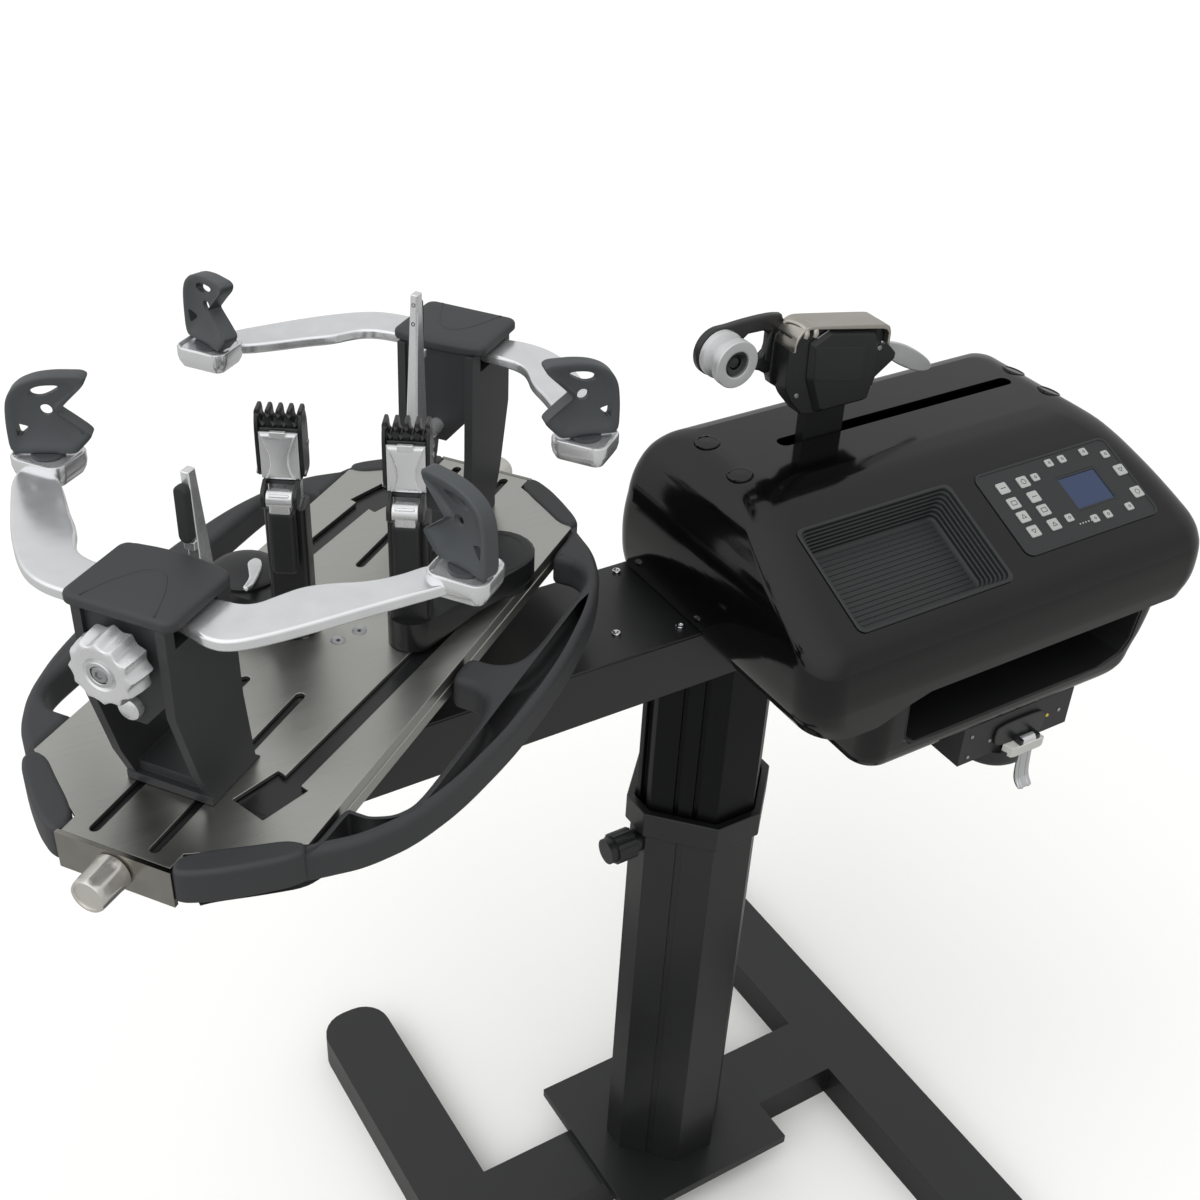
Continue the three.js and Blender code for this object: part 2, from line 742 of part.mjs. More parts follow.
// Turntable plate with its slots and rolled edges
function turntablePlate() {
  const corners = [];
  for (const [sx, sy] of [[1, 1], [-1, 1], [-1, -1], [1, -1]]) {
    const run = [[plateHalfLength, plateHalfWidth], [tabShoulder, tabHalfWidth], [tabReach, tabHalfWidth]];
    const placed = run.map(([x, y]) => [x * sx, y * sy]);
    corners.push(...(sx * sy > 0 ? placed.reverse() : placed));
  }
  const shape = outline(corners);
  for (const sx of [-1, 1]) {
    for (const sy of [-1, 1]) {
      const inner = towerSlotInner * sx;
      const outer = towerSlotOuter * sx;
      const y = towerSlotOffset * sy;
      shape.holes.push(linkShape(inner, y, towerSlotRadius, outer, y, towerSlotRadius));
    }
  }
  const sheet = slabZ(shape, -plateThickness, 0);
  const tools = [-1, 1].flatMap((side) => {
    const slot = linkShape(clampSlotStartX * side, clampSlotStartY * side, clampSlotRadius,
      clampSlotEndX * side, clampSlotEndY * side, clampSlotRadius);
    const pocket = new THREE.BoxGeometry(pocketLength, pocketWidth, plateThickness + overrun * 2);
    pocket.rotateZ(radians(pocketTurn)).translate(pocketX * side, pocketY * side, -plateThickness / 2);
    return [slabZ(slot, -plateThickness - overrun, overrun), solid(pocket)];
  });
  const edges = [-1, 1].map((side) => edgeFlange(side));
  return mesh('turntable_plate', cut(join(sheet, ...edges), ...tools), steelPlate);
}

// The long edge is folded down and carries one rolled groove
function edgeFlange(side) {
  const outer = plateHalfWidth * side;
  const inner = (plateHalfWidth - flangeThickness) * side;
  const groove = (plateHalfWidth - railGrooveDepth) * side;
  const low = -railGrooveDrop - railGrooveHeight;
  const profile = outline([[inner, -lap], [outer, -lap], [outer, -railGrooveDrop],
    [groove, -railGrooveDrop], [groove, low], [outer, low], [outer, -flangeDepth], [inner, -flangeDepth]]);
  return slabX(profile, -plateHalfLength, plateHalfLength);
}

// One ring of bumper, from the front tab round to the rear tab
function bumper(name, side) {
  const slope = new THREE.Vector2(plateHalfWidth - tabHalfWidth, tabShoulder - plateHalfLength).normalize();
  const inner = plateHalfWidth + bumperGap;
  const shoulderX = (y) => tabShoulder - (y - tabHalfWidth) * slope.y / slope.x + bumperGap / slope.x;
  const notchOuter = bumperHalfWidth - bumperBar;
  const corner = bumperNotchCorner;
  const half = [[shoulderX(bumperEndY), bumperEndY], [shoulderX(inner), inner], [bumperNotchEnd, inner],
    [bumperNotchEnd, notchOuter - corner], [bumperNotchEnd - corner / 2, notchOuter - corner / 3],
    [bumperNotchEnd - corner * 1.5, notchOuter], [bumperWeb / 2 + corner, notchOuter],
    [bumperWeb / 2 + corner / 4, notchOuter - corner / 4], [bumperWeb / 2, inner]];
  const outer = bumperOutlineShares.map(([sx, sy]) => [sx * bumperHalfLength, sy * bumperHalfWidth]);
  const end = [[bumperHalfLength, bumperEndY]];
  const right = [...half].reverse().concat(end, outer);
  const left = [...right].reverse().map(([x, y]) => [-x, y]);
  const points = right.concat([[0, bumperHalfWidth]], left).map(([x, y]) => [x, y * side]);
  const body = pillow(outline(points), bumperTop - bumperHeight, bumperTop, bumperBevel, arcSteps, 2);
  return mesh(name, solid(body), greyPlastic);
}

function endPlate(name, side) {
  const near = tabReach + gap;
  const far = near + endPlateThickness;
  const body = block(near, far, -endPlateHalfWidth, endPlateHalfWidth, -endPlateHeight, 0);
  const hole = rodX(0, -adjusterDrop, adjusterShaftRadius + runningGap, near - overrun, far + overrun,
    smallSides);
  const plate = mesh(name, cut(body, hole), nickel);
  plate.rotation.z = side > 0 ? 0 : Math.PI;
  return plate;
}

function adjuster(name, side) {
  const plateFar = tabReach + gap + endPlateThickness;
  const knobNear = plateFar + gap;
  const knobFar = knobNear + adjusterKnobLength;
  const shaft = rodX(0, -adjusterDrop, adjusterShaftRadius, tabReach - lap, knobNear + lap, smallSides);
  const rod = rodX(0, -adjusterDrop, adjusterRodRadius, adjusterRodInner, tabReach, smallSides);
  const knob = rodX(0, -adjusterDrop, adjusterKnobRadius, knobNear, knobFar);
  const recess = rodX(0, -adjusterDrop, adjusterRecessRadius, knobFar - adjusterRecessDepth,
    knobFar + overrun);
  const whole = mesh(name, cut(join(shaft, rod, knob), recess), nickel);
  whole.rotation.z = side > 0 ? 0 : Math.PI;
  return whole;
}

// Mounting tower: two cheeks, a head between them and a foot that slides in the plate
function towerBody(name) {
  const profile = outline(scaled(cheekOutlineShares, towerBack, towerBack + towerDepth, gap, towerTop));
  const inner = towerHalfWidth - cheekThickness;
  const cheeks = [slabY(profile, inner, towerHalfWidth), slabY(profile, -towerHalfWidth, -inner)];
  const seat = inner + lap;
  const headSection = outline([[-seat, towerTop], [seat, towerTop], [seat, headShoulderZ],
    [headKeelHalfWidth, headKeelZ], [-headKeelHalfWidth, headKeelZ], [-seat, headShoulderZ]]);
  const head = slabX(headSection, headFront, headBack);
  const foot = block(footFront, footBack, -seat, seat, gap, footHeight);
  const toe = block(footBack - lap, toeReach, -towerHalfWidth, towerHalfWidth, gap, toeHeight);
  const keys = [-1, 1].map((side) => block(-keyHalfLength, keyHalfLength,
    towerSlotOffset * side - keyHalfWidth, towerSlotOffset * side + keyHalfWidth,
    -plateThickness - gap - lap, footHeight / 2));
  const nutHalf = towerSlotOffset + keyHalfWidth;
  const nut = block(-keyHalfLength, keyHalfLength, -nutHalf, nutHalf, nutBottom, -plateThickness - gap);
  const bay = block(armBayFront, armBayBack, -towerHalfWidth - overrun, towerHalfWidth + overrun,
    armBayFloor, towerTop + overrun);
  const rodHole = rodX(0, -adjusterDrop, adjusterRodRadius + runningGap, -keyHalfLength - overrun,
    keyHalfLength + overrun, smallSides);
  const supportHole = rodX(0, supportShaftZ, supportShaftRadius + runningGap, headFront - overrun,
    headBack + overrun, smallSides);
  const starHole = rodX(0, starKnobZ, starShaftRadius + runningGap, starShaftInnerX - overrun,
    headBack + overrun, smallSides);
  const pins = [-1, 1].map((side) => rodZ(armPivotX, armPivotY * side, armPinRadius, armBayFloor - lap,
    towerTop, smallSides));
  const body = cut(join(...cheeks, head, foot, toe, ...keys, nut), bay, rodHole, supportHole, starHole);
  return mesh(name, join(body, ...pins), greyPlastic);
}

function towerCap(name) {
  const shape = new THREE.Shape();
  shape.moveTo(capInnerX, -capHalfWidth);
  shape.lineTo(capOuterX - capCorner, -capHalfWidth);
  shape.quadraticCurveTo(capOuterX, -capHalfWidth, capOuterX, -capHalfWidth + capCorner);
  shape.lineTo(capOuterX, capHalfWidth - capCorner);
  shape.quadraticCurveTo(capOuterX, capHalfWidth, capOuterX - capCorner, capHalfWidth);
  shape.lineTo(capInnerX, capHalfWidth);
  shape.quadraticCurveTo(capInnerX - capBulge * 2, 0, capInnerX, -capHalfWidth);
  const bottom = towerTop + gap;
  return mesh(name, solid(pillow(shape, bottom, bottom + capHeight, capBevel)), greyPlastic);
}

function armKnob(name) {
  const ringNear = headBack + runningGap;
  const knobNear = ringNear + starRingLength;
  const star = solid(extruded(lobed(starKnobRadius, starLobeDepth, starKnobLobes, 4), starKnobLength));
  const ring = rodZ(0, 0, starRingRadius, -starRingLength, lap, smallSides);
  const shaft = rodZ(0, 0, starShaftRadius, starShaftInnerX - knobNear, lap, smallSides);
  const knob = mesh(name, join(star, ring, shaft), castSilver);
  knob.rotation.y = Math.PI / 2;
  knob.position.set(knobNear, 0, starKnobZ);
  return knob;
}

// A side arm; side is +1 or -1 for the tower's +Y or -Y side
function armPlaces(shares) {
  return shares.map(([sx, sy]) => [sx * armReachX, sy * armReachY]);
}

function sideArm(name, side) {
  const shape = new THREE.Shape();
  const outer = armPlaces(armOuterShares);
  const inner = armPlaces(armInnerShares);
  shape.moveTo(armPivotX + armEndRadius, armPivotY);
  outer.concat(inner).forEach(([x, y]) => shape.lineTo(x, y));
  shape.lineTo(armPivotX - armEndRadius, armPivotY);
  shape.absarc(armPivotX, armPivotY, armEndRadius, Math.PI, Math.PI * 2);
  const flipped = outline(shape.getPoints(arcSteps).map((p) => [p.x, p.y * side]));
  const beam = slabZ(flipped, armTop - armThickness, armTop);
  const x = -armReachX;
  const y = armReachY;
  const pad = roundRect(x - platformHalfX, x + platformHalfX, y - platformHalfY, y + platformHalfY,
    platformCorner);
  const well = roundRect(x - platformHalfX + rimWidth, x + platformHalfX - rimWidth,
    y - platformHalfY + rimWidth, y + platformHalfY - rimWidth, platformCorner - rimWidth);
  const flip = (s) => outline(s.getPoints(arcSteps).map((p) => [p.x, p.y * side]));
  const platform = slabZ(flip(pad), platformBottom, rimTop);
  const recess = slabZ(flip(well), platformFloor, rimTop + overrun);
  const hole = rodZ(armPivotX, armPivotY * side, armPinRadius + runningGap, armTop - armThickness - overrun,
    armTop + overrun, smallSides);
  return mesh(name, cut(join(beam, platform), recess, hole), polished);
}

// A K-shaped frame holder standing on an arm's end
function frameHolder(name, tower, side, toe) {
  const bottom = platformFloor + gap;
  const plateBottom = bottom + holderFootHeight;
  const top = plateBottom + holderHeight;
  const place = (shares) => outline(scaled(shares, -holderPivotX, holderReach - holderPivotX,
    plateBottom - lap, top));
  const half = holderThickness / 2;
  const plate = slabY(place(holderOutlineShares), -half, half);
  const window = slabY(place(holderWindowShares), -half - overrun, half + overrun);
  const corner = slabY(place(holderCornerShares), -half - overrun, half + overrun);
  const hole = rodY(holderHoleXShare * holderReach - holderPivotX,
    plateBottom + holderHoleZShare * holderHeight, holderHoleRadius, -half - overrun, half + overrun,
    smallSides);
  const foot = rodZ(0, 0, holderFootRadius, bottom, plateBottom);
  const holder = mesh(name, cut(join(plate, foot), window, corner, hole), greyPlastic);
  holder.position.set(-armReachX, armReachY * side, 0);
  holder.rotation.z = Math.atan2(-side * Math.cos(radians(toe)), -Math.sin(radians(toe)));
  tower.add(holder);
}

// Centre support: a blade on a shaft that slides through the tower's head
function centreSupport(name, shift) {
  const outerX = supportBladeOuterX + shift;
  const foot = supportShaftZ - supportBossRadius;
  const side = outline([[outerX, supportTopZ], [outerX - supportBladeTopDepth, supportTopZ],
    [outerX - supportBladeFootDepth, foot], [outerX, foot]]);
  const front = outline([[-supportTopWidth / 2, supportTopZ], [supportTopWidth / 2, supportTopZ],
    [supportFootWidth / 2, foot], [-supportFootWidth / 2, foot]]);
  const blade = slabY(side, -supportFootWidth, supportFootWidth).intersect(
    slabX(front, outerX - supportBladeFootDepth, outerX));
  const boss = rodX(0, supportShaftZ, supportBossRadius, outerX - supportBossLength, outerX);
  const shaft = rodX(0, supportShaftZ, supportShaftRadius, outerX - lap, supportShaftEndX + shift,
    smallSides);
  const ledge = block(outerX - lap, outerX + padLedgeReach, -padLedgeWidth / 2, padLedgeWidth / 2,
    padBottomZ - gap - padLedgeHeight, padBottomZ - gap);
  return mesh(name, join(blade, boss, shaft, ledge), polished);
}

function supportPad(name, shift) {
  const near = supportBladeOuterX + shift + gap;
  const radius = padWidth / 2;
  const shape = linkShape(0, padBottomZ + radius, radius, 0, padBottomZ + padLength - radius, radius);
  const body = slabX(shape, near, near + padThickness);
  return mesh(name, body, padRubber);
}

function tower(label, reach, angle) {
  const group = new THREE.Group();
  group.rotation.z = angle;
  group.position.set(reach * Math.cos(angle), 0, 0);
  group.add(towerBody(`tower_body_${label}`), towerCap(`tower_cap_${label}`), armKnob(`arm_knob_${label}`));
  const shift = label === 'rear' ? 0 : frontSupportShift;
  group.add(centreSupport(`centre_support_${label}`, shift), supportPad(`support_pad_${label}`, shift));
  const flip = label === 'rear' ? 1 : -1;
  const toes = label === 'rear' ? { left: rearLeftToe, right: rearRightToe }
    : { left: frontLeftToe, right: frontRightToe };
  for (const [hand, sign] of [['left', 1], ['right', -1]]) {
    group.add(sideArm(`arm_${label}_${hand}`, sign * flip));
    frameHolder(`holder_${label}_${hand}`, group, sign * flip, toes[hand]);
  }
  return group;
}

// String clamp: base on the slot, post on a swinging arm, lifting head and its lever
function clampBase(name) {
  const drum = rodZ(0, 0, drumRadius, gap, drumBaseHeight);
  const spindle = rodZ(0, 0, drumSpindleRadius, drumBaseHeight - lap, drumTop - runningGap - lap,
    smallSides);
  const shoe = rodZ(0, 0, shoeRadius, shoeBottom, lap, smallSides);
  const flange = rodZ(0, 0, shoeFlangeRadius, shoeBottom, -plateThickness - gap, smallSides);
  return mesh(name, join(drum, spindle, shoe, flange), satinBlack);
}

function clampPost(name, dx, dy) {
  const arm = slabZ(linkShape(0, 0, drumRadius, dx, dy, clampHeelRadius), drumBaseHeight + gap, drumTop,
    fineSteps);
  const heel = slabZ(linkShape(0, 0, clampHeelRadius, dx, dy, clampHeelRadius), clampSkirtZ, drumTop - lap,
    fineSteps);
  const clear = rodZ(0, 0, drumRadius + runningGap, clampSkirtZ - overrun, drumBaseHeight + gap);
  const bore = rodZ(0, 0, drumSpindleRadius + runningGap, drumBaseHeight - overrun, drumTop - lap,
    smallSides);
  const turn = radians(combAngle);
  const section = roundRect(-postHalfWidth, postHalfWidth, -postHalfDepth, postHalfDepth, postCorner);
  const well = block(-stemHalfWidth - gap, stemHalfWidth + gap, -stemHalfDepth - gap, stemHalfDepth + gap,
    postBoreBottom, postTop + overrun);
  const post = cut(slabZ(section, drumTop - lap, postTop, 3), well);
  const placed = post.rotate([0, 0, combAngle]).translate([dx, dy, 0]);
  return { turn, post: mesh(name, join(cut(join(arm, heel), clear, bore), placed), satinBlack) };
}

function clampHead(name) {
  const stem = block(-stemHalfWidth, stemHalfWidth, -stemHalfDepth, stemHalfDepth, stemBottom,
    jawBottom + lap);
  const jaw = block(-jawHalfWidth, jawHalfWidth, -jawHalfDepth, jawHalfDepth, jawBottom, jawTop);
  const pitch = (jawHalfWidth * 2 - toothWidth) / (toothCount - 1);
  const teeth = [];
  for (let i = 0; i < toothCount; i += 1) {
    const x = -jawHalfWidth + i * pitch;
    teeth.push(block(x, x + toothWidth, -toothDepth, toothDepth, jawTop - lap, toothTop));
  }
  const ears = [-1, 1].map((side) => {
    const near = side * (leverBarrelHalf + gap);
    const far = near + side * leverEarThickness;
    return block(Math.min(near, far), Math.max(near, far), leverY - leverBarrelRadius, -jawHalfDepth + lap,
      leverZ - leverBarrelRadius, jawBottom + lap * 2);
  });
  const earRoot = block(-leverBarrelHalf - leverEarThickness, leverBarrelHalf + leverEarThickness,
    -postHalfDepth, stemHalfDepth, jawBottom - neckSink, jawBottom + lap);
  return mesh(name, join(stem, jaw, ...teeth, ...ears, earRoot), satinBlack);
}

function clampLever(name) {
  const barrel = rodX(leverY, leverZ, leverBarrelRadius, -leverBarrelHalf, leverBarrelHalf, smallSides);
  const back = -postHalfDepth - runningGap * 2;
  const section = roundRect(-gripHalfWidth, gripHalfWidth, gripBottom, gripTop, gripCorner);
  const grip = slabY(section, back - gripThickness, back, 3);
  return mesh(name, join(barrel, grip), satinBlack);
}

function stringClamp(label, drumX, postX, postY, side) {
  const slotSlope = (clampSlotEndY - clampSlotStartY) / (clampSlotEndX - clampSlotStartX);
  const drumY = side * (clampSlotStartY + (side * drumX - clampSlotStartX) * slotSlope);
  const group = new THREE.Group();
  group.position.set(drumX, drumY, 0);
  const { turn, post } = clampPost(`clamp_post_${label}`, postX - drumX, postY - drumY);
  group.add(clampBase(`clamp_base_${label}`), post);
  const head = new THREE.Group();
  head.position.set(postX - drumX, postY - drumY, 0);
  head.rotation.z = turn;
  head.add(clampHead(`clamp_head_${label}`), clampLever(`clamp_lever_${label}`));
  group.add(head);
  return group;
}

// Tension head
function housingBody(inset) {
  const x0 = housingLeft + inset;
  const x1 = housingRight - inset;
  const y0 = housingFront + inset;
  const y1 = housingBack - inset;
  const z0 = inset > 0 ? housingBottom - overrun : housingBottom;
  const z1 = housingTop - inset;
  const profile = slabX(outline(scaled(housingProfileShares, y0, y1, z0, z1)), x0, x1);
  const elevation = slabY(outline(scaled(housingElevationShares, x0, x1, z0, z1)), y0, y1);
  const plan = slabZ(roundRect(x0, x1, y0, y1, housingCorner - inset), z0, z1);
  return profile.intersect(elevation).intersect(plan);
}

// The sloping front runs between two corners of the housing's side profile
const [slopeTop, slopeFoot] = scaled(housingProfileShares, housingFront, housingBack, housingBottom,
  housingTop).slice(-5, -3);
const slopeAngle = Math.atan2(slopeTop[1] - slopeFoot[1], slopeTop[0] - slopeFoot[0]);

function onSlope(geometry) {
  return geometry.rotateX(slopeAngle).translate(0, slopeTop[0], slopeTop[1]);
}

function slopeWindow(x0, x1, y0, y1, corner) {
  const depth = overrun * 2 + housingWall * 2;
  const shape = roundRect(x0, x1, y0, y1, corner);
  return solid(onSlope(extruded(shape, depth).translate(0, 0, overrun - depth)));
}

// Only the left end of the cover reaches down beside the beam; the rest stops higher, over the bin
function housingCover() {
  const slotStart = slotLeft + slotHalfWidth;
  const slot = linkShape(slotStart, 0, slotHalfWidth, slotRight - slotHalfWidth, 0, slotHalfWidth);
  const slit = slabZ(slot, housingTop - housingWall - overrun, housingTop + overrun);
  const tray = slopeWindow(trayLeft, trayRight, trayTop - trayLength, trayTop, trayCorner);
  const keypad = slopeWindow(keypadLeft, keypadRight, keypadBottom, keypadTop, keypadCorner);
  const right = housingRight + overrun;
  const floor = housingBottom - overrun * 2;
  const rise = outline([[skirtRight, floor], [right, floor], [right, housingBottom + skirtHeight],
    [skirtRight + skirtSlope, housingBottom + skirtHeight], [skirtRight, housingBottom]]);
  const lift = slabY(rise, housingFront - overrun, housingBack + overrun);
  const beamNotch = block(housingLeft - overrun, right, -beamHalfWidth - runningGap,
    beamHalfWidth + runningGap, floor, beamTop + gap);
  return mesh('housing_cover', cut(housingBody(0), housingBody(housingWall), slit, tray, keypad, lift,
    beamNotch), gloss);
}

function bowl(inset) {
  const top = inset > 0 ? deckTop + overrun : deckTop;
  const section = scaled(bowlProfileShares, bowlFront + inset, bowlBack - inset, bowlBottom + inset, top);
  const front = scaled(bowlElevationShares, bowlLeft + inset, bowlRight - inset, bowlBottom + inset, top);
  const plan = roundRect(bowlLeft + inset, bowlRight - inset, bowlFront + inset, bowlBack - inset,
    bowlCorner - inset);
  return slabX(outline(section), bowlLeft + inset, bowlRight - inset)
    .intersect(slabY(outline(front), bowlFront + inset, bowlBack - inset))
    .intersect(slabZ(plan, bowlBottom + inset, top));
}

function mouthOutline(inset) {
  return outline(scaled(mouthShares, mouthLeft + inset, mouthRight - inset, mouthBottom + inset,
    mouthTop - inset));
}

// The deck lies inside the cover, a hair from its walls, and the bowl hangs from it
function chassis() {
  const deck = housingBody(housingWall + gap).intersect(block(housingLeft, housingRight, housingFront,
    housingBack, deckTop - deckThickness, deckTop));
  const notch = block(bowlLeft - overrun, beamRight + runningGap, -beamHalfWidth - runningGap,
    beamHalfWidth + runningGap, bowlBottom - overrun, beamTop + gap);
  const mouth = slabY(mouthOutline(0), bowlFront - overrun, bowlFront + mouthCutDepth);
  return mesh('chassis', cut(join(deck, bowl(0)), bowl(bowlWall), notch, mouth), satinBlack);
}

function storageBin() {
  const body = slabY(mouthOutline(runningGap), bowlFront, binBack);
  const inside = slabY(mouthOutline(runningGap + binWall), bowlFront - overrun, binBack - binWall);
  return mesh('storage_bin', cut(body, inside), satinBlack);
}

// The tray hangs in the slope; its floor is smaller than its mouth
function toolTray() {
  const x0 = trayLeft + runningGap;
  const x1 = trayRight - runningGap;
  const y0 = trayTop - trayLength + runningGap;
  const y1 = trayTop - runningGap;
  const taper = (grow, low, high) => {
    const rim = chamferRect(x0 + grow, x1 - grow, y0 + grow, y1 - grow, trayCorner - grow);
    const inset = grow + trayFloorInset;
    const floor = chamferRect(x0 + inset, x1 - inset, y0 + inset, y1 - inset, trayCorner - grow);
    return solid(onSlope(loft(floor, rim, low, high)));
  };
  const body = taper(0, -trayDepth, trayRimProud);
  const inside = taper(trayWall, -trayDepth + trayWall, trayRimProud + gap);
  return mesh('tool_tray', cut(body, inside), panelGrey);
}

function chamferRect(x0, x1, y0, y1, corner) {
  return [[x0 + corner, y0], [x1 - corner, y0], [x1, y0 + corner], [x1, y1 - corner], [x1 - corner, y1],
    [x0 + corner, y1], [x0, y1 - corner], [x0, y0 + corner]];
}

// A closed solid between two outlines with the same number of points
function loft(low, high, z0, z1) {
  const count = low.length;
  const positions = [];
  low.forEach(([x, y]) => positions.push(x, y, z0));
  high.forEach(([x, y]) => positions.push(x, y, z1));
  const index = [];
  for (let i = 0; i < count; i += 1) {
    const next = (i + 1) % count;
    index.push(i, next, count + next, i, count + next, count + i);
  }
  for (let i = 1; i < count - 1; i += 1) {
    index.push(0, i + 1, i);
    index.push(count, count + i, count + i + 1);
  }
  const geometry = new THREE.BufferGeometry();
  geometry.setAttribute('position', new THREE.Float32BufferAttribute(positions, 3));
  geometry.setIndex(index);
  return geometry;
}

// The keys as posts on the slope, grown outwards by a clearance
function keyPosts(grow, z0, z1) {
  const rows = [[bigKeyShares, bigKeySize], [smallKeyShares, smallKeySize]];
  return rows.flatMap(([shares, size]) => shares.map(([sx, sy]) => {
    const x = keypadLeft + sx * (keypadRight - keypadLeft);
    const y = keypadTop + sy * (keypadBottom - keypadTop);
    const half = size / 2 + grow;
    const post = outline(chamferRect(x - half, x + half, y - half, y + half, keyCorner));
    return solid(onSlope(extruded(post, z1 - z0).translate(0, 0, z0)));
  }));
}

const keypadUnderside = keypadProud - keypadThickness;

function keypadSheet(z0, z1) {
  const shape = roundRect(keypadLeft + runningGap, keypadRight - runningGap, keypadBottom + runningGap,
    keypadTop - runningGap, keypadCorner - runningGap);
  return solid(onSlope(extruded(shape, z1 - z0).translate(0, 0, z0)));
}

function displayShape(inset, z0, z1) {
  const shape = roundRect(displayLeft + inset, displayRight - inset, displayBottom + inset,
    displayTop - inset, displayCorner);
  return solid(onSlope(extruded(shape, z1 - z0).translate(0, 0, z0)));
}

function keypadPanel() {
  const plate = keypadSheet(keypadUnderside, keypadProud);
  const holes = keyPosts(gap, keypadUnderside - overrun, keypadProud + overrun);
  const window = displayShape(0, keypadUnderside - overrun, keypadProud + overrun);
  return mesh('keypad_panel', cut(plate, ...holes, window), panelGrey);
}

// One membrane behind the panel; its keys stand through the panel's holes
function keypadMembrane() {
  const top = keypadUnderside - gap;
  const sheet = keypadSheet(top - membraneThickness, top);
  return mesh('keypad_membrane', join(sheet, ...keyPosts(0, top - gap, keypadProud + keyRise)), keyGrey);
}

function displayWindow() {
  return mesh('display_window', displayShape(gap, keypadUnderside, keypadUnderside + displayThickness),
    displayBlue);
}

// Carriage drive
function guideRail() {
  const bed = block(railLeft, railRight, -railHalfWidth, railHalfWidth, railBottom, railTop);
  const nearLeg = block(railLeft, railLeft + bedLegLength, -railHalfWidth, railHalfWidth, beamTop + gap,
    railBottom + lap);
  const farLeg = block(bedLegX, bedLegX + bedLegLength, -railHalfWidth, railHalfWidth,
    bowlBottom + bowlWall + gap, railBottom + lap);
  const leftBracket = block(railLeft, railLeft + bracketThickness, -railHalfWidth, railHalfWidth,
    railTop - lap, leftBracketTop);
  const rightBracket = block(railRight - lap, railRight + bracketThickness, -bracketHalfWidth,
    bracketHalfWidth, railBottom, rightBracketTop);
  const hole = rodX(0, 0, screwRadius + runningGap, railLeft - overrun,
    railRight + bracketThickness + overrun, smallSides);
  return mesh('guide_rail', cut(join(bed, nearLeg, farLeg, leftBracket, rightBracket), hole), castSilver);
}

function driveScrew() {
  const end = railRight + bracketThickness;
  return mesh('drive_screw', rodX(0, 0, screwRadius, screwLeft, end, smallSides), polished);
}

function driveMotor() {
  const near = railRight + bracketThickness + gap;
  const body = rodX(0, 0, motorRadius, near, near + motorLength);
  const nose = rodX(0, 0, motorNoseRadius, near + motorLength - lap, near + motorLength + motorNoseLength,
    smallSides);
  return mesh('drive_motor', join(body, nose), satinBlack);
}

function carriageBlock() {
  const skirt = railTop - carriageSkirt;
  const body = block(carriageLeft, carriageRight, -carriageHalfWidth, carriageHalfWidth, skirt,
    carriageTop);
  const channel = block(carriageLeft - overrun, carriageRight + overrun, -railHalfWidth - runningGap,
    railHalfWidth + runningGap, skirt - overrun, railTop + gap);
  const bore = rodX(0, 0, screwRadius + runningGap, carriageLeft - overrun, carriageRight + overrun,
    smallSides);
  const neck = block(carriageLeft, carriageRight, -neckHalfWidth, neckHalfWidth, carriageTop - lap,
    gripperBottom - gap);
  return mesh('carriage_block', cut(join(body, neck), channel, bore), satinBlack);
}

function gripperHousing() {
  const shape = outline(scaled(gripperShares, gripperLeft, gripperRight, gripperBottom, gripperTop));
  const body = pillow(shape, -gripperHalfWidth, gripperHalfWidth, gripperBevel, arcSteps, 1);
  const ear = outline(scaled(toggleEarShares, toggleEarLeft, toggleEarRight, toggleEarBottom, toggleEarTop));
  const ears = [-1, 1].map((side) => {
    const near = side * (toggleHalfWidth + gap);
    const far = near + side * toggleEarThickness;
    return slabY(ear, Math.min(near, far), Math.max(near, far));
  });
  return mesh('gripper_housing', join(solid(body.rotateX(Math.PI / 2)), ...ears), satinBlack);
}

function gripperCap() {
  const shape = outline(scaled(gripperCapShares, gripperCapLeft, gripperCapRight, gripperCapBottom,
    gripperCapTop));
  return mesh('gripper_cap', slabY(shape, -gripperCapHalfWidth, gripperCapHalfWidth), nickel);
}

function diabloArm() {
  const place = (shares) => slabY(outline(scaled(shares, diabloX, gripperLeft - gap, diabloArmLowZ,
    diabloArmTopZ)), diabloArmFront, diabloArmBack);
  const eye = rodY(diabloX, diabloZ, diabloArmRadius, diabloArmFront, diabloArmBack);
  const pin = rodY(diabloX, diabloZ, diabloPinRadius, diabloPinFront, diabloArmFront + lap, smallSides);
  const window = place(diabloWindowShares);
  return mesh('diablo_arm', join(cut(join(place(diabloArmShares), eye), window), pin), satinBlack);
}

function diabloDrum() {
  const bore = diabloPinRadius + runningGap;
  const mid = (diabloFront + diabloBack) / 2;
  const points = [[bore, diabloFront], [diabloRadius, diabloFront], [diabloRadius, diabloFront + diabloRim],
    [diabloWaist, mid], [diabloRadius, diabloBack - diabloRim], [diabloRadius, diabloBack],
    [bore, diabloBack], [bore, diabloFront]];
  const profile = points.map(([r, y]) => new THREE.Vector2(r, y));
  const drum = mesh('diablo_drum', solid(new THREE.LatheGeometry(profile, roundSides)), polished);
  drum.position.set(diabloX, 0, diabloZ);
  return drum;
}

// The lever is a flat leaf that turns in its own plane, between the two ears
function gripperLever() {
  const barrel = rodY(0, 0, toggleRadius, -toggleHalfWidth, toggleHalfWidth, smallSides);
  const half = toggleBladeThickness / 2;
  const leaf = slabY(outline(scaled(toggleBladeShares, 0, toggleBladeLength, 0, toggleBladeHalfWidth)), -half,
    half);
  const lever = mesh('gripper_lever', join(barrel, leaf), castSilver);
  lever.rotation.y = radians(toggleSlope);
  lever.position.set(toggleX, 0, toggleZ);
  return lever;
}

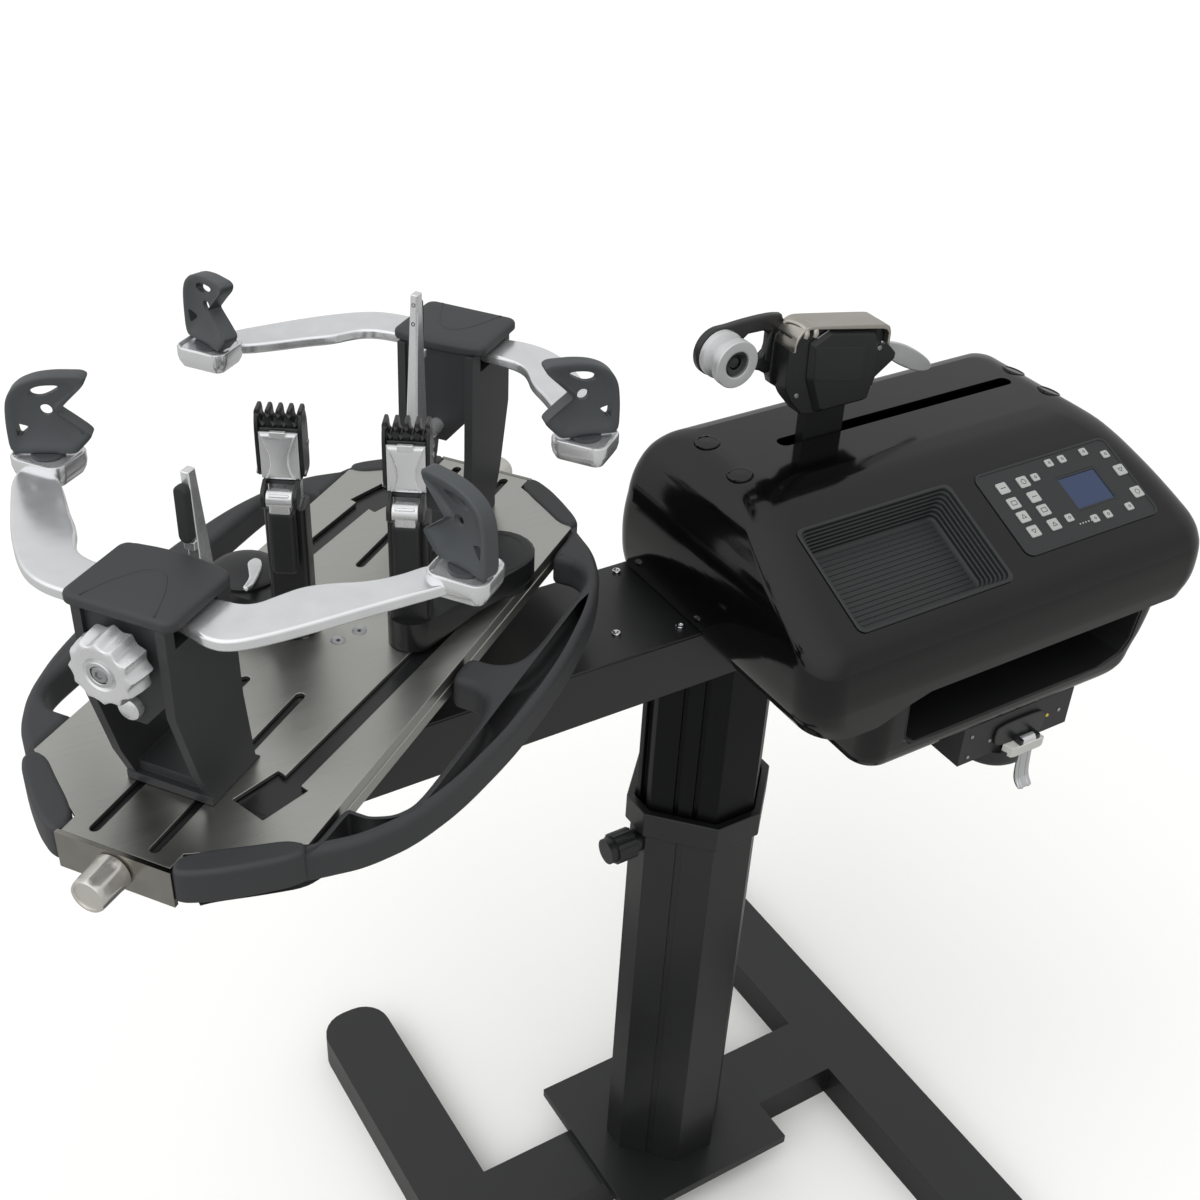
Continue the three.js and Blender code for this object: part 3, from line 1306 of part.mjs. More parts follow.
// Latch under the head
function latchBox() {
  const top = bowlBottom - gap;
  const box = block(latchLeft, latchRight, latchFront, latchBack, latchBottom, top);
  const drum = rodZ(latchDrumX, latchFront + latchDrumInset, latchDrumRadius, latchDrumBottom,
    latchBottom + lap);
  const ears = [-1, 1].map((side) => {
    const near = latchLeverX + side * (latchBarrelHalf + latchEarGap);
    const far = near + side * latchEarThickness;
    return block(Math.min(near, far), Math.max(near, far), latchLeverY - latchBarrelRadius,
      latchFront + lap, latchLeverZ - latchBarrelRadius, latchLeverZ + latchBarrelRadius);
  });
  return mesh('latch_box', join(box, drum, ...ears), satinBlack);
}

function latchLever() {
  const barrel = rodX(0, 0, latchBarrelRadius, -latchBarrelHalf, latchBarrelHalf, smallSides);
  const back = -latchBarrelRadius + latchTongueThickness;
  const front = -latchBarrelRadius;
  const foot = -latchTongueLength;
  const shape = outline([[back, 0], [back, foot], [front - latchTongueHook, foot - latchTongueThickness],
    [front - latchTongueHook, foot], [front, foot + latchTongueHook], [front, 0]]);
  const lever = mesh('latch_lever', join(barrel, slabX(shape, -latchBarrelHalf, latchBarrelHalf)),
    castSilver);
  lever.position.set(latchLeverX, latchLeverY, latchLeverZ);
  return lever;
}

// Assembly
function stand() {
  const group = new THREE.Group();
  group.add(baseFrame(), columnLower(), columnCollar(), heightKnob());
  return group;
}

function turntable() {
  const group = new THREE.Group();
  group.position.x = -turntableReach;
  group.rotation.z = radians(turntableAngle);
  group.add(turntablePlate(), turntableHub(), bumper('bumper_left', 1), bumper('bumper_right', -1));
  group.add(endPlate('end_plate_front', -1), endPlate('end_plate_rear', 1));
  group.add(adjuster('adjuster_front', -1), adjuster('adjuster_rear', 1));
  group.add(tower('front', frontTowerReach, Math.PI), tower('rear', rearTowerReach, 0));
  group.add(stringClamp('right', rightDrumX, rightPostX, rightPostY, 1));
  group.add(stringClamp('left', leftDrumX, leftPostX, leftPostY, -1));
  return group;
}

function mast() {
  const group = new THREE.Group();
  group.position.z = plateHeight;
  group.add(columnUpper(), supportBeam(), beamCover(), turntableBearing(), turntable());
  group.add(chassis(), housingCover(), storageBin(), toolTray());
  group.add(keypadPanel(), keypadMembrane(), displayWindow());
  group.add(guideRail(), driveScrew(), driveMotor(), carriageBlock());
  group.add(gripperHousing(), gripperCap(), gripperLever(), diabloArm(), diabloDrum());
  group.add(latchBox(), latchLever());
  return group;
}

const machine = new THREE.Group();
machine.add(stand(), mast());

export default machine;
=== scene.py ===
"""Electronic racket stringing machine: the looks of its stand, turntable, towers, clamps and tension head."""

import json
import math

import bmesh
import bpy
from mathutils import Matrix, Vector


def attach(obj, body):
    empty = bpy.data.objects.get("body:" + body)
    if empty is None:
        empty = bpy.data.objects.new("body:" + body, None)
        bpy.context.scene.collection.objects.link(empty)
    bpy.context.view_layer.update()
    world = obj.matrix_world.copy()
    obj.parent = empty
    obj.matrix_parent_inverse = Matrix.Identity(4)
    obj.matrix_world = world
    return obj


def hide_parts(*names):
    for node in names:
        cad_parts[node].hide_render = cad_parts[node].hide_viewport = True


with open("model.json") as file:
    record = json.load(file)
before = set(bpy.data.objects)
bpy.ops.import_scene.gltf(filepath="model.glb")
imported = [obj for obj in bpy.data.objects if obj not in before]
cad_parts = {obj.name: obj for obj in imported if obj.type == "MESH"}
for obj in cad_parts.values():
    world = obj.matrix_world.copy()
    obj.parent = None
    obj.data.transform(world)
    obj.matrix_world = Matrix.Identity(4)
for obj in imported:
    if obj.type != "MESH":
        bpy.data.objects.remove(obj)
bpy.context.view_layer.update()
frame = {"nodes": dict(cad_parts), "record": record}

# Places, as in the part: millimetres in a piece's own frame, then metres in the scene
MM = Matrix.Scale(0.001, 4)


def shift(x, y, z):
    return Matrix.Translation((x, y, z))


def turn(degrees, axis="Z"):
    return Matrix.Rotation(math.radians(degrees), 4, axis)


# The head's own frame starts at the top of the turntable plate, a metre above the floor
HEAD = MM @ shift(0, 0, 1000)
UPRIGHT = HEAD @ turn(90, "X")
PLATE = HEAD @ shift(-421, 0, 0) @ turn(36)
TOWERS = {"front": PLATE @ shift(-200, 0, 0) @ turn(180), "rear": PLATE @ shift(210, 0, 0)}
# From a tower's middle to the platform at the end of its arm: along the plate and across it
ARM_REACH = (95, 182)
SUPPORT_SHIFT = {"front": 15, "rear": 0}
HAND_SIDE = {("front", "left"): -1, ("front", "right"): 1, ("rear", "left"): 1, ("rear", "right"): -1}
# How far each holder is turned in towards the racket, in degrees
TOE = {("front", "left"): 26.6, ("front", "right"): 18, ("rear", "left"): 22, ("rear", "right"): 40.5}
CLAMPS = {"right": PLATE @ shift(15, -71, 0) @ turn(-69), "left": PLATE @ shift(-12, 28, 0) @ turn(-69)}
SLOPE = HEAD @ shift(0, -117.2, 48.96) @ turn(24.1, "X")
UP = (0, 0, 1)
TO_FRONT = (0, -1, 0)


def sideways(place):
    """A frame for outlines drawn as the piece is seen along its own x."""
    return place @ turn(90, "Z") @ turn(90, "X")


def holder_frame(end, hand):
    side = HAND_SIDE[end, hand]
    toe = math.radians(TOE[end, hand])
    heading = math.atan2(-side * math.cos(toe), -math.sin(toe))
    return TOWERS[end] @ shift(-ARM_REACH[0], side * ARM_REACH[1], 0) @ Matrix.Rotation(heading, 4, "Z")


# Finishes
def linear(hex_colour):
    """An sRGB hex colour as linear RGBA."""
    channels = [int(hex_colour[i:i + 2], 16) / 255 for i in (1, 3, 5)]
    return [c / 12.92 if c <= 0.04045 else ((c + 0.055) / 1.055) ** 2.4 for c in channels] + [1.0]


def add(tree, kind, settings=None, values=None, links=None):
    """A node with its settings, its input values and the outputs linked into it."""
    node = tree.nodes.new(kind)
    for name, value in (settings or {}).items():
        setattr(node, name, value)
    for socket, value in (values or {}).items():
        node.inputs[socket].default_value = value
    for socket, source in (links or {}).items():
        tree.links.new(source, node.inputs[socket])
    return node


def finish(name, colour, roughness, **shader_values):
    """A material with its plain values set; patterns are added to the tree it returns."""
    material = bpy.data.materials.new(name)
    material.use_nodes = True
    material.diffuse_color = linear(colour)
    tree = material.node_tree
    shader = tree.nodes["Principled BSDF"]
    shader.inputs["Base Color"].default_value = linear(colour)
    shader.inputs["Roughness"].default_value = roughness
    for socket, value in shader_values.items():
        shader.inputs[socket.replace("_", " ")].default_value = value
    return material, tree, shader


def place_on_object(tree, stretch=(1, 1, 1), angle=0):
    where = add(tree, "ShaderNodeTexCoord")
    mapping = add(tree, "ShaderNodeMapping", values={"Scale": stretch, "Rotation": (0, 0, math.radians(angle))},
                  links={"Vector": where.outputs["Object"]})
    return mapping.outputs["Vector"]


def noise(tree, where, size_mm, detail, **more):
    """A cloudy pattern that repeats about once in size_mm."""
    node = add(tree, "ShaderNodeTexNoise", values={"Scale": 1000 / size_mm, "Detail": detail, **more},
               links={"Vector": where})
    return node.outputs["Fac"]


def bump(tree, shader, height, depth_mm, strength):
    node = add(tree, "ShaderNodeBump", values={"Distance": depth_mm / 1000, "Strength": strength},
               links={"Height": height})
    tree.links.new(node.outputs["Normal"], shader.inputs["Normal"])


def sheen(tree, shader, factor, low, high):
    """Roughness that runs from low to high with the factor."""
    node = add(tree, "ShaderNodeMapRange", values={"To Min": low, "To Max": high}, links={"Value": factor})
    tree.links.new(node.outputs["Result"], shader.inputs["Roughness"])


def tint(tree, shader, factor, low, high):
    node = add(tree, "ShaderNodeMix", {"data_type": "RGBA"}, links={"Factor": factor})
    node.inputs["A"].default_value = linear(low)
    node.inputs["B"].default_value = linear(high)
    tree.links.new(node.outputs["Result"], shader.inputs["Base Color"])


def powder_coat(name, colour, pale, roughness):
    """Powder coat baked on steel: a slight orange peel that breaks up the highlights."""
    material, tree, shader = finish(name, colour, roughness, Coat_Weight=0.25, Coat_Roughness=0.18)
    where = place_on_object(tree)
    bump(tree, shader, noise(tree, where, 2.2, 2), 0.05, 0.5)
    cloud = noise(tree, where, 60, 3)
    sheen(tree, shader, cloud, roughness - 0.06, roughness + 0.06)
    tint(tree, shader, cloud, colour, pale)
    return material


def moulded(name, colour, pale, roughness, grain_mm, depth_mm):
    """Moulded plastic with a spark-eroded grain: matt, with soft speckle and no flat patches."""
    material, tree, shader = finish(name, colour, roughness, IOR=1.53)
    where = place_on_object(tree)
    bump(tree, shader, noise(tree, where, grain_mm, 3, Roughness=0.6), depth_mm, 0.7)
    flow = noise(tree, where, 85, 2)
    tint(tree, shader, flow, colour, pale)
    sheen(tree, shader, flow, roughness - 0.05, roughness + 0.07)
    return material


def gloss_moulding(name, colour):
    """Mirror-polished plastic: deep reflections, a faint mould waviness and hairline wipe marks."""
    material, tree, shader = finish(name, colour, 0.1, IOR=1.46)
    where = place_on_object(tree)
    bump(tree, shader, noise(tree, where, 70, 1), 0.25, 0.35)
    sheen(tree, shader, noise(tree, where, 9, 5, Distortion=1.5), 0.07, 0.15)
    return material


def drawn_metal(name, colour, pale, roughness, stretch, line_mm, angle=0, metallic=1.0):
    """Metal brushed or drawn one way: fine parallel lines that pull the highlights out across them."""
    material, tree, shader = finish(name, colour, roughness, Metallic=metallic, Anisotropic=0.55)
    lines = noise(tree, place_on_object(tree, stretch, angle), line_mm, 4, Roughness=0.7)
    sheen(tree, shader, lines, roughness - 0.1, roughness + 0.14)
    bump(tree, shader, lines, 0.02, 0.5)
    tint(tree, shader, lines, colour, pale)
    return material


def cast_metal(name, colour, pale, roughness, grain_mm, depth_mm, metallic=1.0):
    """Cast or plated metal: bright, with a fine uneven skin under the highlights."""
    material, tree, shader = finish(name, colour, roughness, Metallic=metallic)
    where = place_on_object(tree)
    bump(tree, shader, noise(tree, where, grain_mm, 4), depth_mm, 0.6)
    patch = noise(tree, where, 18, 3)
    tint(tree, shader, patch, colour, pale)
    sheen(tree, shader, patch, roughness - 0.07, roughness + 0.09)
    return material


BASE_STEEL = powder_coat("powder_coated_steel_satin_black", "#0e0f10", "#141516", 0.42)
COLUMN = drawn_metal("black_anodised_aluminium_extruded", "#101112", "#191a1b", 0.36, (1, 1, 0.02), 1.2,
                     metallic=0.75)
BLACK_MOULDING = moulded("black_nylon_moulded", "#17181a", "#1c1d1f", 0.42, 0.9, 0.05)
# The bin's inside: black moulded plastic, made darker than the other black mouldings as painted shade for the hollow
# under the cover
BIN_BLACK_WITH_PAINTED_SHADE = moulded("black_polypropylene_with_painted_shade", "#08090a", "#0b0c0d", 0.6, 0.9, 0.05)
PANEL = moulded("dark_grey_abs_grained", "#191b1c", "#212324", 0.5, 0.8, 0.06)
PIANO_BLACK = gloss_moulding("black_abs_mirror_polished", "#060607")
GREY_NYLON = moulded("grey_glass_filled_nylon_moulded", "#2c2d2f", "#37383a", 0.56, 1.1, 0.09)
TOWER_COAT = moulded("dark_grey_powder_coated_casting", "#292a2c", "#313234", 0.5, 0.9, 0.06)
BLACK_STEEL = powder_coat("black_steel_satin_lacquered", "#121314", "#17181a", 0.36)
PLATE_STEEL = drawn_metal("stainless_steel_brushed", "#b2b2ad", "#cacac5", 0.3, (0.012, 1, 1), 0.9, angle=-36)
POLISHED = cast_metal("aluminium_polished", "#e6e7e9", "#f3f4f6", 0.2, 7, 0.04, 0.8)
CHROME = cast_metal("steel_chrome_plated", "#cfd0d2", "#dcdde0", 0.08, 8, 0.01)
CAST_SILVER = cast_metal("zinc_die_cast_tumbled", "#e0e1e2", "#eff0f1", 0.28, 0.8, 0.12, 0.75)
NICKEL = drawn_metal("brass_satin_nickel_plated", "#b3aea6", "#c6c2bb", 0.3, (1, 0.05, 1), 0.8)
KNOB_NICKEL = cast_metal("steel_knurled_bright_nickel_plated", "#d2d0ca", "#e6e4de", 0.2, 4, 0.03, 0.85)
BRIGHT_NICKEL = cast_metal("steel_bright_nickel_plated", "#8b8983", "#a3a19b", 0.16, 4, 0.03)
HOLDER_GREY = moulded("grey_glass_filled_nylon_satin", "#3b3e40", "#464a4c", 0.44, 1.3, 0.06)
KEY_GREY = moulded("grey_silicone_membrane", "#9c9e9c", "#a9aba9", 0.55, 0.5, 0.02)
PAD_RUBBER = moulded("nitrile_rubber_moulded", "#1f2021", "#292a2b", 0.7, 0.7, 0.08)
SCREEN = gloss_moulding("display_blue_polycarbonate", "#2e3b57")
SCREW_STEEL = cast_metal("steel_zinc_plated_screws", "#a5a6a8", "#bcbdbf", 0.3, 3, 0.02)
DRUM_SILVER = cast_metal("aluminium_bead_blasted", "#cccdce", "#dbdcdd", 0.4, 0.7, 0.08, 0.75)
PALE_MOULDING = moulded("off_white_abs_moulded", "#c9c9c4", "#d8d8d3", 0.5, 0.8, 0.04)
LIT_AMBER = moulded("amber_lens_polycarbonate", "#c8b43a", "#d9c64a", 0.3, 1.5, 0.01)

NODE_FINISH = {
    BASE_STEEL: ["base_frame", "column_lower", "column_collar", "support_beam", "beam_cover"],
    COLUMN: ["column_upper"],
    BIN_BLACK_WITH_PAINTED_SHADE: ["storage_bin"],
    BLACK_MOULDING: ["latch_box", "gripper_housing", "clamp_lever_right", "clamp_lever_left"],
    PANEL: ["tool_tray", "keypad_panel"],
    PIANO_BLACK: ["housing_cover", "chassis"],
    GREY_NYLON: ["bumper_left", "bumper_right", "tower_cap_front", "tower_cap_rear", "height_knob"],
    HOLDER_GREY: ["holder_front_left", "holder_front_right", "holder_rear_left", "holder_rear_right"],
    TOWER_COAT: ["tower_body_front", "tower_body_rear"],
    BLACK_STEEL: ["clamp_base_right", "clamp_base_left", "clamp_post_right", "clamp_post_left",
                  "clamp_head_right", "clamp_head_left", "carriage_block", "drive_motor", "diablo_arm"],
    PLATE_STEEL: ["turntable_plate"],
    POLISHED: ["arm_front_left", "arm_front_right", "arm_rear_left", "arm_rear_right",
               "centre_support_front", "centre_support_rear", "diablo_drum"],
    CHROME: ["drive_screw"],
    CAST_SILVER: ["arm_knob_front", "arm_knob_rear", "gripper_lever", "latch_lever", "guide_rail",
                  "turntable_bearing", "turntable_hub"],
    BRIGHT_NICKEL: ["end_plate_front", "end_plate_rear"],
    KNOB_NICKEL: ["adjuster_front", "adjuster_rear"],
    NICKEL: ["gripper_cap"],
    KEY_GREY: ["keypad_membrane"],
    SCREEN: ["display_window"],
    PAD_RUBBER: ["support_pad_front", "support_pad_rear"],
}
FINISH_OF = {node: material for material, nodes in NODE_FINISH.items() for node in nodes}
BODY_OF = {node: body for body, nodes in frame["record"]["behaviour"]["bodies"].items() for node in nodes}
for name, node in frame["nodes"].items():
    node.data.materials.clear()
    node.data.materials.append(FINISH_OF[name])


# Making a piece: shapes are drawn in millimetres in a frame of their own
def eased(points, rounds=2, share=0.25, closed=True):
    """A line with every corner cut back, round after round, into a curve; an open line keeps its two ends."""
    for _ in range(rounds):
        cut = []
        for (ax, ay), (bx, by) in zip(points, points[1:] + points[:closed]):
            cut.append((ax + (bx - ax) * share, ay + (by - ay) * share))
            cut.append((bx + (ax - bx) * share, by + (ay - by) * share))
        points = cut if closed else [points[0], *cut, points[-1]]
    return points


def scaled(shares, x0, x1, y0, y1):
    return [(x0 + sx * (x1 - x0), y0 + sy * (y1 - y0)) for sx, sy in shares]


def circle(x, y, radius, steps=32):
    turns = [math.tau * i / steps for i in range(steps)]
    return [(x + radius * math.cos(a), y + radius * math.sin(a)) for a in turns]


def arc(x, y, radius, start, sweep=90, steps=6):
    """Points along an arc given in degrees, with both its ends."""
    angles = [math.radians(start + sweep * i / steps) for i in range(steps + 1)]
    return [(x + radius * math.cos(a), y + radius * math.sin(a)) for a in angles]


def round_rect(x0, x1, y0, y1, corner, steps=6, back_corner=None):
    """A rectangle with round corners; the two at y1, its back, can have a radius of their own."""
    back = back_corner or corner
    return [*arc(x1 - back, y1 - back, back, 0, steps=steps), *arc(x0 + back, y1 - back, back, 90, steps=steps),
            *arc(x0 + corner, y0 + corner, corner, 180, steps=steps),
            *arc(x1 - corner, y0 + corner, corner, 270, steps=steps)]


def inside(box, inset):
    """The box x0, x1, y0, y1 drawn in on all four sides."""
    x0, x1, y0, y1 = box
    return x0 + inset, x1 - inset, y0 + inset, y1 - inset


def capsule(x0, x1, y, radius):
    """A slot's outline, round at both ends."""
    return arc(x0, y, radius, 90, 180, 12) + arc(x1, y, radius, -90, 180, 12)


def new_object(name, data, material=None):
    made = bpy.data.objects.new(name, data)
    bpy.context.scene.collection.objects.link(made)
    if material:
        data.materials.clear()
        data.materials.append(material)
    return made


def evaluated(made):
    """The plain mesh that an object's curve or modifiers come to."""
    bpy.context.view_layer.update()
    return bpy.data.meshes.new_from_object(made.evaluated_get(bpy.context.evaluated_depsgraph_get()))


def kept_mesh(made, *helpers):
    """The object's plain mesh, once the object and its helpers are gone."""
    mesh = evaluated(made)
    for spent in (made, *helpers):
        bpy.data.objects.remove(spent)
    return mesh


def as_mesh(shape, name):
    """The mesh of a shape built face by face, which is then let go."""
    mesh = bpy.data.meshes.new(name)
    shape.to_mesh(mesh)
    shape.free()
    return mesh


def cleaned(mesh, place, merge_mm=0.02):
    """Merges doubled points, closes the shell outwards and sets it in its place."""
    shape = bmesh.new()
    shape.from_mesh(mesh)
    bmesh.ops.remove_doubles(shape, verts=shape.verts, dist=merge_mm)
    bmesh.ops.recalc_face_normals(shape, faces=shape.faces)
    shape.transform(place)
    shape.to_mesh(mesh)
    shape.free()
    return mesh


def slab(place, outlines, low, high, edge=0.0, segments=2):
    """A plate from low to high with rounded edges; the outlines after the first are holes through it."""
    data = bpy.data.curves.new("slab", "CURVE")
    data.dimensions = "2D"
    data.fill_mode = "BOTH"
    data.extrude = (high - low) / 2 - edge
    data.bevel_depth = edge
    data.bevel_resolution = segments
    data.offset = -edge
    for points in outlines:
        spline = data.splines.new("POLY")
        spline.points.add(len(points) - 1)
        for point, (x, y) in zip(spline.points, points):
            point.co = (x, y, 0, 1)
        spline.use_cyclic_u = True
    return cleaned(kept_mesh(new_object("slab", data)), place @ shift(0, 0, (low + high) / 2))


def rings(place, sections, closed=True):
    """A skin over rings of points, each with the same count; the two ends are closed."""
    shape = bmesh.new()
    rows = [[shape.verts.new(point) for point in section] for section in sections]
    count = len(rows[0])
    for low, high in zip(rows, rows[1:]):
        for i in range(count):
            k = (i + 1) % count
            shape.faces.new((low[i], low[k], high[k], high[i]))
    if closed:
        shape.faces.new(list(reversed(rows[0])))
        shape.faces.new(rows[-1])
    return cleaned(as_mesh(shape, "rings"), place, 0.001)


def turned(place, profile, sides=48):
    """A shape turned on the lathe from (radius, height) pairs, lowest first."""
    return rings(place, [[(x, y, z) for x, y in circle(0, 0, max(r, 0.01), sides)] for r, z in profile])


def barrel(place, radius, half, chamfer=0.4):
    """A cross pin with chamfered ends."""
    return turned(place, [(0, -half), (radius - chamfer, -half), (radius, chamfer - half), (radius, half - chamfer),
                          (radius - chamfer, half), (0, half)], 32)


def stacked(place, outline_at, section):
    """A shape whose outline is drawn again at each (inset, height) of the section."""
    return rings(place, [[(x, y, z) for x, y in outline_at(inset)] for inset, z in section])


def rod_along(place, points, radius, smooth=True):
    """A round rod along a line of points."""
    data = bpy.data.curves.new("rod", "CURVE")
    data.dimensions = "3D"
    data.bevel_depth = radius
    data.bevel_resolution = 3
    data.use_fill_caps = True
    spline = data.splines.new("NURBS" if smooth else "POLY")
    spline.points.add(len(points) - 1)
    for point, co in zip(spline.points, points):
        point.co = (*co, 1)
    if smooth:
        spline.use_endpoint_u = True
        spline.order_u = 4
        spline.resolution_u = 6
    return cleaned(kept_mesh(new_object("rod", data)), place)


def node_copy(node):
    """The CAD node's mesh with its loose triangles merged into faces."""
    shape = bmesh.new()
    shape.from_mesh(frame["nodes"][node].data)
    bmesh.ops.remove_doubles(shape, verts=shape.verts, dist=1e-5)
    bmesh.ops.dissolve_limit(shape, angle_limit=math.radians(1), verts=shape.verts, edges=shape.edges)
    return as_mesh(shape, node)


def edged(mesh, width_mm, segments=2, angle=28):
    """The mesh with its sharp edges rounded."""
    made = new_object("edged", mesh)
    edges = made.modifiers.new("edges", "BEVEL")
    edges.width = width_mm / 1000
    edges.segments = segments
    edges.limit_method = "ANGLE"
    edges.angle_limit = math.radians(angle)
    edges.miter_outer = "MITER_ARC"
    return kept_mesh(made)


def rounded(node, width_mm, segments=2):
    """The CAD node's own shape with its sharp edges rounded."""
    return edged(node_copy(node), width_mm, segments)


def carved(mesh, tools):
    """The mesh with the other shapes cut out of it."""
    made = new_object("carved", mesh)
    cutters = [new_object("cutter", tool) for tool in tools]
    for tool in cutters:
        opening = made.modifiers.new("opening", "BOOLEAN")
        opening.operation = "DIFFERENCE"
        opening.solver = "EXACT"
        opening.object = tool
    return kept_mesh(made, *cutters)


def gathered(name, shapes, *nodes, body=None):
    """One piece from each material's shapes, in place of the nodes it stands for and on the body they are in."""
    whole = bmesh.new()
    for index, meshes in enumerate(shapes.values()):
        first = len(whole.faces)
        for mesh in meshes:
            whole.from_mesh(mesh)
        whole.faces.ensure_lookup_table()
        for face in whole.faces[first:]:
            face.material_index = index
            face.smooth = True
    mesh = as_mesh(whole, name)
    made = new_object(name, mesh)
    for material in shapes:
        mesh.materials.append(material)
    mesh.set_sharp_from_angle(angle=math.radians(38))
    flats = made.modifiers.new("flats", "WEIGHTED_NORMAL")
    flats.keep_sharp = True
    flattened = evaluated(made)
    made.modifiers.clear()
    made.data = flattened
    body = body or BODY_OF[nodes[0]]
    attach(made, body)
    if nodes:
        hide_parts(*nodes)


def set_out(name, places, head_mesh):
    """Copies of one small shape on a list of (place, heading) points, laid out by a node tree."""
    points = bpy.data.meshes.new(name + "_points")
    points.from_pydata([place for place, _ in places], [], [])
    facing = points.attributes.new("facing", "FLOAT_VECTOR", "POINT")
    for value, (_, heading) in zip(facing.data, places):
        value.vector = heading
    head = new_object(name + "_head", head_mesh)
    made = new_object(name + "_set", points)
    layout = made.modifiers.new("layout", "NODES")
    layout.node_group = SET_OUT
    for item in SET_OUT.interface.items_tree:
        if item.name == "Head":
            layout[item.identifier] = head
    return kept_mesh(made, head)


def set_out_tree():
    """Stands a head on every point, turned to face the point's own heading."""
    tree = bpy.data.node_groups.new("heads_on_points", "GeometryNodeTree")
    tree.interface.new_socket("Points", in_out="INPUT", socket_type="NodeSocketGeometry")
    tree.interface.new_socket("Head", in_out="INPUT", socket_type="NodeSocketObject")
    tree.interface.new_socket("Heads", in_out="OUTPUT", socket_type="NodeSocketGeometry")
    given = add(tree, "NodeGroupInput").outputs
    head = add(tree, "GeometryNodeObjectInfo", links={"Object": given["Head"]})
    facing = add(tree, "GeometryNodeInputNamedAttribute", {"data_type": "FLOAT_VECTOR"}, {"Name": "facing"})
    aim = add(tree, "FunctionNodeAlignRotationToVector", {"axis": "Z"}, links={"Vector": facing.outputs[0]})
    stood = add(tree, "GeometryNodeInstanceOnPoints",
                links={"Points": given["Points"], "Instance": head.outputs["Geometry"],
                       "Rotation": aim.outputs["Rotation"]})
    real = add(tree, "GeometryNodeRealizeInstances", links={"Geometry": stood.outputs["Instances"]})
    add(tree, "NodeGroupOutput", links={"Heads": real.outputs["Geometry"]})
    return tree


SET_OUT = set_out_tree()


def hexagon_radius(across, angle):
    sector = math.radians(60)
    return across / 2 / math.cos((angle % sector) - sector / 2)


def screw_ring(radius, z, is_hexagon=False):
    angles = [math.tau * i / 24 for i in range(24)]
    sizes = [hexagon_radius(radius, a) if is_hexagon else radius for a in angles]
    return [(s * math.cos(a), s * math.sin(a), z) for s, a in zip(sizes, angles)]


def socket_head(radius, height, across):
    """A cap screw's head with a hexagon socket, standing on its own origin."""
    depth = height * 0.6
    return rings(MM, [screw_ring(radius, 0), screw_ring(radius, height * 0.75), screw_ring(radius * 0.88, height),
                      screw_ring(across, height, True), screw_ring(across * 0.92, height - depth, True)])


def countersunk(radius, across):
    """A countersunk screw's head: a rim round a shallow dish with a hexagon in it."""
    return rings(MM, [screw_ring(radius, -0.2), screw_ring(radius, 0.35), screw_ring(radius * 0.93, 0.5),
                      screw_ring(radius * 0.84, 0.4), screw_ring(radius * 0.78, 0.1), screw_ring(across * 1.1, 0.1),
                      screw_ring(across, 0.0, True), screw_ring(across * 0.95, -0.15, True)])


def socket_floor(across):
    """The dark hexagon at the bottom of a countersunk screw's socket."""
    return rings(MM, [screw_ring(across, -0.1, True), screw_ring(across, 0.2, True),
                      screw_ring(across * 0.9, 0.26, True)])


def facing_points(place, spots, heading):
    """Points given in a frame's own millimetres, with the heading they share, in the scene."""
    way = (place.to_3x3() @ Vector(heading)).normalized()
    return [(place @ Vector(spot), way) for spot in spots]


# Frame holders: a dished K with a thick rim, on a round foot
HOLDER_OUTLINE = [(0, 0), (0, 0.37), (0.03, 0.64), (0.1, 0.79), (0.23, 0.9), (0.41, 0.97), (0.62, 1), (0.8, 1),
                  (0.93, 1), (0.99, 0.97), (0.99, 0.93), (0.95, 0.86), (0.79, 0.71), (0.66, 0.58), (0.63, 0.55),
                  (0.66, 0.51), (0.79, 0.41), (0.97, 0.26), (0.97, 0.22), (0.91, 0.15), (0.84, 0.08), (0.76, 0),
                  (0.6, 0), (0.4, 0), (0.2, 0)]
HOLDER_LENS = [(0.31, 0.72), (0.33, 0.8), (0.42, 0.855), (0.56, 0.87), (0.68, 0.865), (0.66, 0.81), (0.56, 0.75),
               (0.44, 0.7)]
HOLDER_CORNER = [(0.1, 0.4), (0.27, 0.33), (0.12, 0.19)]
HOLDER_SLIT = [(0.74, 0.375), (0.76, 0.395), (0.9, 0.275), (0.88, 0.255)]
# The K's own box in millimetres, and the radius of the string hole in its middle
HOLDER_SPAN = (-27, 38.6, 180, 248)
STRING_HOLE = 4.8
# How far out from the string hole towards the edge, and how high the face stands there
HOLDER_FACE = [(0, 1.9), (0.12, 2), (0.28, 2.4), (0.45, 3.1), (0.6, 4.1), (0.72, 5.3), (0.8, 6.3), (0.87, 6.9),
               (0.945, 6.9), (0.98, 6.3), (1, 5.2)]


